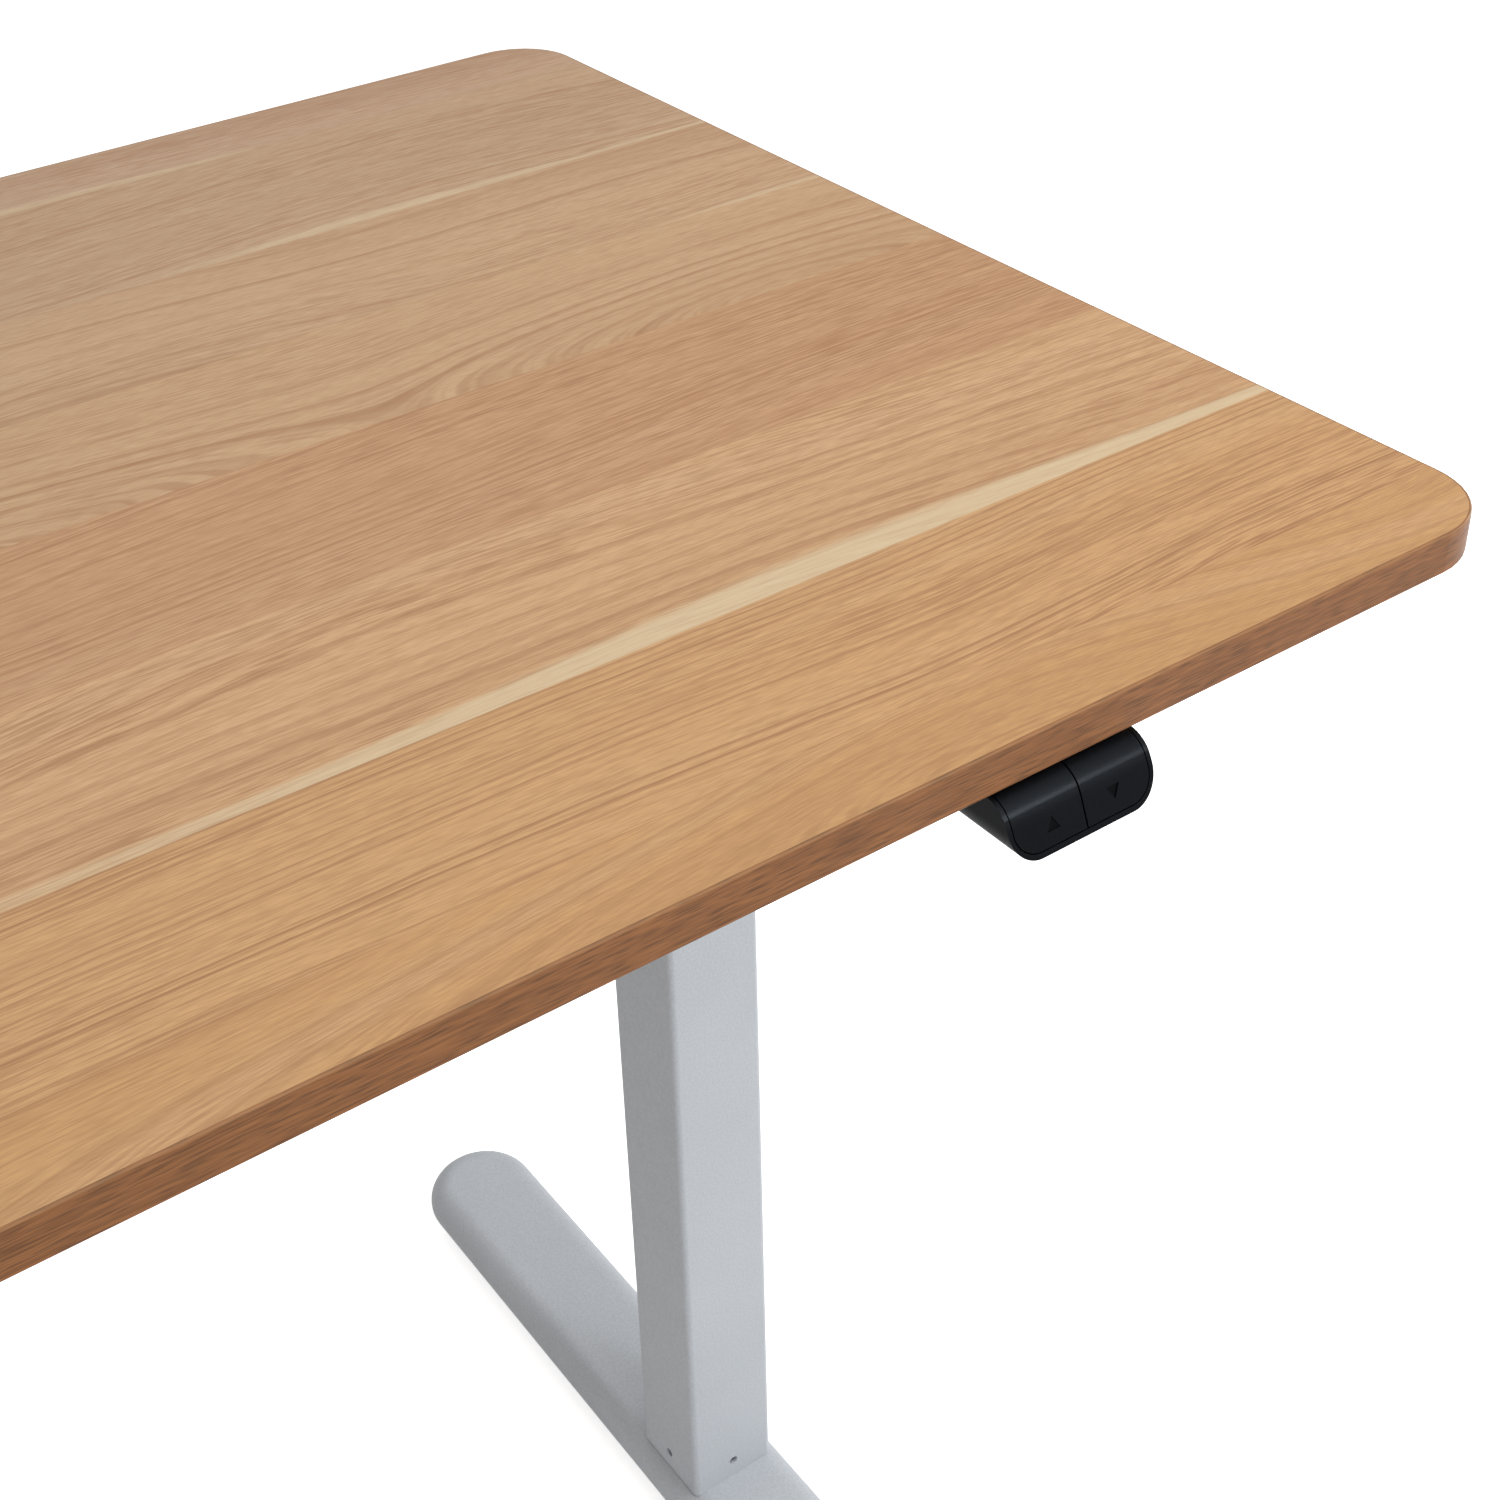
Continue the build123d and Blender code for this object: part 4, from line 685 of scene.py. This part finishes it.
def button_plastic():
    """The shell's satin black on the buttons, with painted shade that darkens the floors of the sunk arrows.
    """
    # Painted shade: the arrows' sunk floors are coloured near black, as if shadowed
    arrow_shade = screen(1, 1, 2)
    material = satin_black("button_plastic")
    tree = material.node_tree
    place = object_place(tree)
    face = max(front_outward.dot(vert.co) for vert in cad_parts["up_button"].data.vertices)
    outward = put(tree, "ShaderNodeVectorMath", {0: place, 1: front_outward}, operation="DOT_PRODUCT")
    to_floor = number(tree, "SUBTRACT", face - arrow_floor, outward.outputs["Value"])
    sunk = span(tree, number(tree, "ABSOLUTE", to_floor), *arrow_blur, 1.0, 0.0)
    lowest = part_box("up_button")[0].z
    on_face = number(tree, "LESS_THAN", axes_of(tree, place)[2], lowest + arrow_top)
    colour = tree.nodes["Principled BSDF"].inputs["Base Color"]
    plain = colour.links[0].from_socket
    tree.links.new(blend_colours(tree, product(tree, sunk, on_face), plain, arrow_shade), colour)
    return material


def cable_jacket():
    """Soft black cable sheath."""
    light, dark = screen(34, 34, 35), screen(28, 28, 29)
    return grained_finish("cable_jacket", light, dark, per_metre=1400.0, depth=0.00003, gloss=(0.42, 0.52))


def leveller_plastic():
    """Hard black pads under the feet, scuffed a little."""
    light, dark = screen(46, 46, 47), screen(35, 35, 36)
    return grained_finish("leveller_plastic", light, dark, per_metre=900.0, depth=0.00006, gloss=(0.45, 0.6))


def circuit_board():
    """Green solder resist with lighter tracks under it."""
    material, tree, shader = new_finish("circuit_board", {"Specular IOR Level": 0.5})
    place = object_place(tree)
    tracks = put(tree, "ShaderNodeTexBrick", {
        "Vector": place, "Scale": 1.0, "Mortar Size": 0.0006, "Brick Width": 0.011, "Row Height": 0.0032,
        "Color1": screen(18, 82, 44), "Color2": screen(14, 72, 38), "Mortar": screen(58, 128, 74)})
    mottle = place_group(tree, fine_grain, {"Place": place, "Per metre": 800.0})["Mottle"]
    dulled = span(tree, mottle, *usual_noise, 0.0, mottle_weight)
    green = blend_colours(tree, dulled, tracks.outputs["Color"], screen(12, 58, 32))
    tree.links.new(green, shader.inputs["Base Color"])
    set_gloss(tree, shader, place, (0.25, 0.38))
    add_bump(tree, shader, tracks.outputs["Fac"], strength=0.3, depth=0.00005)
    return material


finish_makers = (
    wood_laminate, edge_band, powder_coat, cast_aluminium, zinc_steel, dark_screws, guide_plastic,
    nut_plastic, machined_steel, motor_paint, box_plastic, circuit_board, handset_plastic, button_plastic,
    cable_jacket, leveller_plastic)
finishes = {maker.__name__: maker() for maker in finish_makers}


def dress_nodes():
    """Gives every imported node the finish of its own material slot."""
    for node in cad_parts.values():
        slot = node.data.materials[0].name
        node.data.materials[0] = finishes[slot]


# Pieces

def merged_mesh(node):
    """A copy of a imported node's mesh with its loose triangles joined."""
    mesh = bmesh.new()
    mesh.from_mesh(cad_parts[node].data)
    bmesh.ops.remove_doubles(mesh, verts=mesh.verts, dist=weld_distance)
    return mesh


def solid_boxes(node):
    """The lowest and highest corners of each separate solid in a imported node."""
    mesh = merged_mesh(node)
    waiting = set(mesh.verts)
    boxes = []
    while waiting:
        reached = {waiting.pop()}
        edge_of_search = list(reached)
        while edge_of_search:
            vert = edge_of_search.pop()
            neighbours = {edge.other_vert(vert) for edge in vert.link_edges} - reached
            reached |= neighbours
            edge_of_search.extend(neighbours)
        waiting -= reached
        corners = [[pick(vert.co[axis] for vert in reached) for axis in range(3)] for pick in (min, max)]
        boxes.append((Vector(corners[0]), Vector(corners[1])))
    mesh.free()
    return boxes


def show(name, mesh, body, slot, *replaced):
    """Puts a finished mesh in the scene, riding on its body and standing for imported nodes."""
    piece = bpy.data.objects.new(name, mesh)
    bpy.context.scene.collection.objects.link(piece)
    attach(piece, body)
    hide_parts(*replaced)
    return piece


def roll_front(mesh):
    """Bends the upper part of the handset's front back, with cuts for it to bend at."""
    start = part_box("handset_case")[0].z + roll_start
    for cut in range(roll_cuts):
        everything = mesh.verts[:] + mesh.edges[:] + mesh.faces[:]
        level = (0.0, 0.0, start + cut * roll_step)
        bmesh.ops.bisect_plane(mesh, geom=everything, dist=weld_distance, plane_co=level,
                               plane_no=(0.0, 0.0, 1.0))
    front = max(front_outward.dot(vert.co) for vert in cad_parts["handset_case"].data.vertices)
    for vert in mesh.verts:
        depth = front - front_outward.dot(vert.co)
        share = (roll_fade[1] - depth) / (roll_fade[1] - roll_fade[0])
        climb = max(vert.co.z - start, 0.0)
        vert.co.y += roll_bend * climb ** 2 * min(max(share, 0.0), 1.0)


def softened(node, body, slot, width, plain_half=0.0):
    """A moulded piece with its sharp edges rounded, apart from marks within plain_half of its middle."""
    mesh = merged_mesh(node)
    bmesh.ops.dissolve_limit(mesh, angle_limit=flat_edge, verts=mesh.verts, edges=mesh.edges)
    roll_front(mesh)
    low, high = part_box(node)
    middle = (low.x + high.x) / 2
    rounded = mesh.edges.layers.float.new("bevel_weight_edge")
    for edge in mesh.edges:
        sharp = edge.calc_face_angle(0.0) > sharp_edge
        edge.smooth = not sharp
        marked = all(abs(vert.co.x - middle) < plain_half for vert in edge.verts)
        edge[rounded] = 1.0 if sharp and not marked else 0.0
    for face in mesh.faces:
        face.smooth = True
    data = bpy.data.meshes.new(node + "_moulded")
    mesh.to_mesh(data)
    mesh.free()
    data.materials.append(finishes[slot])
    piece = show(node + "_moulded", data, body, slot, node)
    bevel = piece.modifiers.new("mould_round", "BEVEL")
    bevel.width = width
    bevel.segments = edge_segments
    bevel.limit_method = "WEIGHT"
    even = piece.modifiers.new("even_shading", "WEIGHTED_NORMAL")
    even.keep_sharp = True


def geometry_tree(name, sizes, counts=()):
    """A geometry tree with named inputs for its sizes, counts and finish, its sockets and its output node."""
    tree = bpy.data.node_groups.new(name, "GeometryNodeTree")
    inputs = {"Geometry": "NodeSocketGeometry"}
    inputs.update({label: "NodeSocketFloat" for label in sizes})
    inputs.update({label: "NodeSocketInt" for label in counts})
    inputs["Finish"] = "NodeSocketMaterial"
    for label, kind in inputs.items():
        tree.interface.new_socket(label, in_out="INPUT", socket_type=kind)
    tree.interface.new_socket("Geometry", in_out="OUTPUT", socket_type="NodeSocketGeometry")
    return tree, put(tree, "NodeGroupInput").outputs, put(tree, "NodeGroupOutput")


def finish_tree(tree, geometry, given, result):
    """Ends a tree in real geometry with its material."""
    real = put(tree, "GeometryNodeRealizeInstances", {0: geometry})
    painted = put(tree, "GeometryNodeSetMaterial", {"Geometry": real.outputs[0], "Material": given["Finish"]})
    tree.links.new(painted.outputs[0], result.inputs[0])


def run_tree(tree, carrier_mesh, values):
    """Runs a geometry tree on a carrier mesh and gives back a plain mesh."""
    carrier = bpy.data.objects.new("carrier", carrier_mesh)
    bpy.context.scene.collection.objects.link(carrier)
    modifier = carrier.modifiers.new("tree", "NODES")
    modifier.node_group = tree
    for item in tree.interface.items_tree:
        if item.in_out == "INPUT" and item.name in values:
            modifier[item.identifier] = values[item.name]
    evaluated = carrier.evaluated_get(bpy.context.evaluated_depsgraph_get())
    mesh = bpy.data.meshes.new_from_object(evaluated)
    bpy.data.objects.remove(carrier)
    return mesh


def raised(tree, geometry, height):
    """Geometry moved up its own axis."""
    offset = point(tree, z=height)
    return put(tree, "GeometryNodeSetPosition", {"Geometry": geometry, "Offset": offset}).outputs[0]


def pushed(tree, mesh, face, distance):
    """A mesh with one face pushed out or in, and that face in its new place."""
    inputs = {"Mesh": mesh, "Selection": face, "Offset Scale": distance}
    made = put(tree, "GeometryNodeExtrudeMesh", inputs)
    return made.outputs[0], made.outputs["Top"]


def drawn_in(tree, mesh, face, share):
    """A mesh with one face made smaller about its middle."""
    inputs = {"Geometry": mesh, "Selection": face, "Scale": share}
    return put(tree, "GeometryNodeScaleElements", inputs).outputs[0]


def joined(tree, *parts):
    """Several geometries as one."""
    whole = put(tree, "GeometryNodeJoinGeometry")
    for part in parts:
        tree.links.new(part, whole.inputs[0])
    return whole.outputs[0]


def screw_tree():
    """Screws with chamfered heads and lobed drives, one on each carrier point, heads towards aim."""
    tree, given, result = geometry_tree("screw_set", (
        "Head radius", "Head height", "Shank radius", "Shank length", "Drive points", "Drive notch"))
    rim = product(tree, given["Head height"], head_rim)
    disc = put(tree, "GeometryNodeMeshCylinder", {
        "Vertices": head_sides, "Radius": given["Head radius"], "Depth": rim})
    seated = raised(tree, disc.outputs["Mesh"], product(tree, rim, 0.5))
    chamfer = product(tree, given["Head height"], 1 - head_rim)
    crowned, crown = pushed(tree, seated, disc.outputs["Top"], chamfer)
    inset, floor = pushed(tree, drawn_in(tree, crowned, crown, crown_width), crown, 0.0)
    round_drive = drawn_in(tree, inset, floor, drive_width)
    across, along, _ = axes_of(tree, put(tree, "GeometryNodeInputPosition").outputs[0])
    angle = number(tree, "ARCTAN2", along, across)
    wave = number(tree, "COSINE", product(tree, angle, given["Drive points"]))
    notch = product(tree, number(tree, "SUBTRACT", wave, 1.0), given["Drive notch"])
    pull = point(tree, product(tree, across, notch), product(tree, along, notch))
    lobed = put(tree, "GeometryNodeSetPosition", {
        "Geometry": round_drive, "Selection": floor, "Offset": pull})
    head, _ = pushed(tree, lobed.outputs[0], floor, product(tree, given["Head height"], -drive_depth))
    rod = put(tree, "GeometryNodeMeshCylinder", {
        "Vertices": shank_sides, "Radius": given["Shank radius"], "Depth": given["Shank length"]})
    shank = raised(tree, rod.outputs["Mesh"], product(tree, given["Shank length"], -0.5))
    aim = put(tree, "GeometryNodeInputNamedAttribute", {"Name": "aim"}, data_type="FLOAT_VECTOR")
    turn = put(tree, "FunctionNodeAlignRotationToVector", {"Vector": aim.outputs[0]}, axis="Z")
    placed = put(tree, "GeometryNodeInstanceOnPoints", {
        "Points": given["Geometry"], "Instance": joined(tree, head, shank), "Rotation": turn.outputs[0]})
    finish_tree(tree, placed.outputs[0], given, result)
    return tree


def screw_carrier(seats):
    """Carrier points at the screws' seats, each with the direction that its head faces."""
    mesh = bpy.data.meshes.new("screw_seats")
    mesh.from_pydata([seat for seat, aim in seats], [], [])
    directions = mesh.attributes.new("aim", "FLOAT_VECTOR", "POINT")
    for number_on_list, (seat, aim) in enumerate(seats):
        directions.data[number_on_list].vector = aim
    return mesh


def screw_mesh(seats, slot, head, shank, drive):
    """Equal screws at their seats: radius and height of the head, radius and length of the shank."""
    return run_tree(screws, screw_carrier(seats), {
        "Head radius": head[0], "Head height": head[1], "Shank radius": shank[0], "Shank length": shank[1],
        "Drive points": drive.points, "Drive notch": drive.notch, "Finish": finishes[slot]})


def upright_screws(node, body, slot, head_height, shank_radius, drive):
    """Replaces a node of screws driven upwards, at the places and sizes of its own solids."""
    boxes = solid_boxes(node)
    seats = []
    for low, high in boxes:
        middle = (low + high) / 2
        seats.append((Vector((middle.x, middle.y, low.z + head_height)), Vector((0.0, 0.0, -1.0))))
    low, high = boxes[0]
    head = ((high.x - low.x) / 2, head_height)
    shank = (shank_radius, high.z - low.z - head_height)
    show(node + "_set", screw_mesh(seats, slot, head, shank, drive), body, slot, node)


def column_screw_set():
    """Set screws through the column walls, each facing out of its own side."""
    seats = []
    lengths = []
    for low, high in solid_boxes("column_screws"):
        size = high - low
        axis = 0 if size.x > size.y else 1
        radius = size[1 - axis] / 2
        middle = (low + high) / 2
        tube = "right_outer_tube" if middle.x > 0 else "left_outer_tube"
        tube_low, tube_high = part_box(tube)
        outward = 1.0 if middle[axis] > (tube_low[axis] + tube_high[axis]) / 2 else -1.0
        aim = Vector((0.0, 0.0, 0.0))
        aim[axis] = outward
        seats.append((middle + aim * (size[axis] / 2 - column_screw_head), aim))
        lengths.append(size[axis])
    head = (radius, column_screw_head)
    shank = (radius * column_shank_width, min(lengths) - column_screw_head)
    mesh = screw_mesh(seats, "zinc_steel", head, shank, star_drive)
    show("column_set_screws", mesh, "base", "zinc_steel", "column_screws")


def thread_tree():
    """A rolled trapezoidal thread: a grid wrapped round an axis, its radius set by the helix."""
    sizes = ("Radius", "Depth", "Length", "Lead", "Starts", "Hand", "Chamfer")
    tree, given, result = geometry_tree("rolled_thread", sizes, counts=("Rows",))
    grid = put(tree, "GeometryNodeMeshGrid", {
        "Size X": 1.0, "Size Y": 1.0, "Vertices X": thread_sides + 1, "Vertices Y": given["Rows"]})
    share, row, _ = axes_of(tree, put(tree, "GeometryNodeInputPosition").outputs[0])
    climb = product(tree, number(tree, "ADD", row, 0.5), given["Length"])
    turns = number(tree, "DIVIDE", climb, given["Lead"])
    twist = number(tree, "SUBTRACT", turns, product(tree, share, given["Hand"]))
    phase = product(tree, twist, given["Starts"])
    flank = product(tree, number(tree, "PINGPONG", phase, 0.5), 2.0)
    crest = span(tree, flank, *thread_flank)
    to_end = number(tree, "MINIMUM", climb, number(tree, "SUBTRACT", given["Length"], climb))
    runout = span(tree, to_end, 0.0, given["Chamfer"])
    core = number(tree, "SUBTRACT", given["Radius"], given["Depth"])
    radius = number(tree, "ADD", core, product(tree, crest, runout, given["Depth"]))
    angle = product(tree, share, 2 * pi)
    across = product(tree, number(tree, "COSINE", angle), radius)
    along = product(tree, number(tree, "SINE", angle), radius)
    tube = put(tree, "GeometryNodeSetPosition", {
        "Geometry": grid.outputs["Mesh"], "Position": point(tree, across, along, climb)})
    disc = put(tree, "GeometryNodeMeshCircle", {"Vertices": thread_sides, "Radius": core}, fill_type="NGON")
    top = raised(tree, disc.outputs[0], given["Length"])
    bottom = put(tree, "GeometryNodeFlipFaces", {0: disc.outputs[0]})
    whole = joined(tree, tube.outputs[0], top, bottom.outputs[0])
    closed = put(tree, "GeometryNodeMergeByDistance", {"Geometry": whole, "Distance": weld_distance})
    smooth = put(tree, "GeometryNodeSetShadeSmooth", {"Geometry": closed.outputs[0]})
    finish_tree(tree, smooth.outputs[0], given, result)
    return tree


def lift_spindle(side, hand):
    """A lifting spindle with its real thread and the plain journal above it."""
    node = side + "_spindle"
    low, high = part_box(node)
    radius = (high.x - low.x) / 2
    thread_length = high.z - low.z - journal_length
    rows = int(thread_length / (thread_lead / thread_starts / rows_per_pitch))
    blank = bpy.data.meshes.new("blank")
    mesh = run_tree(threads, blank, {
        "Radius": radius, "Depth": thread_depth, "Length": thread_length, "Lead": thread_lead,
        "Starts": float(thread_starts), "Hand": hand, "Chamfer": thread_chamfer, "Rows": rows,
        "Finish": finishes["machined_steel"]})
    whole = bmesh.new()
    whole.from_mesh(mesh)
    journal_middle = Matrix.Translation((0.0, 0.0, thread_length + journal_length / 2))
    bmesh.ops.create_cone(whole, cap_ends=True, segments=journal_sides, radius1=journal_radius,
                          radius2=journal_radius, depth=journal_length, matrix=journal_middle)
    bmesh.ops.recalc_face_normals(whole, faces=whole.faces)
    foot = Vector(((low.x + high.x) / 2, (low.y + high.y) / 2, low.z))
    bmesh.ops.translate(whole, verts=whole.verts, vec=foot)
    whole.to_mesh(mesh)
    whole.free()
    mesh.set_sharp_from_angle(angle=turned_edge)
    show(node + "_threaded", mesh, node, "machined_steel", node)


# Studio

def add_camera():
    """The photograph's camera, with the lens shift that its framing needs."""
    data = bpy.data.cameras.new("photo_camera")
    data.sensor_width = sensor_width
    data.lens = focal_pixels * sensor_width / photo_pixels
    data.shift_x = (photo_pixels / 2 - optical_centre[0]) / photo_pixels
    data.shift_y = (optical_centre[1] - photo_pixels / 2) / photo_pixels
    data.clip_start = nearest_view
    camera = bpy.data.objects.new("photo_camera", data)
    bpy.context.scene.collection.objects.link(camera)
    axes = Matrix((camera_right, -camera_down, -camera_forward)).transposed().to_4x4()
    camera.matrix_world = Matrix.Translation(camera_place) @ axes
    bpy.context.scene.camera = camera


def add_softbox(lamp):
    """A soft lamp that faces a point."""
    data = bpy.data.lights.new(lamp.name, "AREA")
    data.shape = "RECTANGLE"
    data.size, data.size_y = lamp.size
    data.energy = lamp.power
    softbox = bpy.data.objects.new(lamp.name, data)
    bpy.context.scene.collection.objects.link(softbox)
    softbox.location = lamp.place
    facing = Vector(lamp.aim) - Vector(lamp.place)
    softbox.rotation_euler = facing.to_track_quat("-Z", "Y").to_euler()


def add_room():
    """A white room that is brighter to the eye than the light it gives, with its soft lamps."""
    world = bpy.data.worlds.new("white_room")
    bpy.context.scene.world = world
    world.use_nodes = True
    room = world.node_tree
    backdrop = room.nodes["Background"]
    backdrop.inputs["Color"].default_value = white
    in_view = put(room, "ShaderNodeLightPath").outputs["Is Camera Ray"]
    room.links.new(span(room, in_view, 0.0, 1.0, room_light, 1.0), backdrop.inputs["Strength"])
    bpy.context.scene.view_settings.view_transform = "Standard"
    for lamp in lamps:
        add_softbox(lamp)


def add_floor():
    """A pale floor with a glow to the eye, so that it looks as white as the room."""
    mesh = bpy.data.meshes.new("floor")
    corners = [(side_x * floor_reach, side_y * floor_reach, 0.0)
               for side_x, side_y in ((-1, -1), (1, -1), (1, 1), (-1, 1))]
    mesh.from_pydata(corners, [], [(0, 1, 2, 3)])
    floor = bpy.data.objects.new("floor", mesh)
    bpy.context.scene.collection.objects.link(floor)
    material, tree, shader = new_finish("floor", {
        "Base Color": floor_white, "Roughness": 0.9, "Specular IOR Level": 0.1, "Emission Color": white})
    in_view = put(tree, "ShaderNodeLightPath").outputs["Is Camera Ray"]
    tree.links.new(span(tree, in_view, 0.0, 1.0, 0.0, floor_glow), shader.inputs["Emission Strength"])
    mesh.materials.append(material)


add_camera()
add_room()
add_floor()
dress_nodes()
softened("handset_case", "lift", "handset_plastic", case_edge)
softened("up_button", "up_button", "button_plastic", button_edge, arrow_half)
softened("down_button", "down_button", "button_plastic", button_edge, arrow_half)
screws = screw_tree()
upright_screws("wood_screws", "lift", "dark_screws", wood_screw_head, wood_screw_shank, cross_drive)
upright_screws("frame_bolts", "lift", "zinc_steel", frame_bolt_head, frame_bolt_shank, star_drive)
upright_screws("foot_bolts", "base", "zinc_steel", foot_bolt_head, foot_bolt_shank, star_drive)
column_screw_set()
threads = thread_tree()
lift_spindle("right", 1.0)
lift_spindle("left", -1.0)
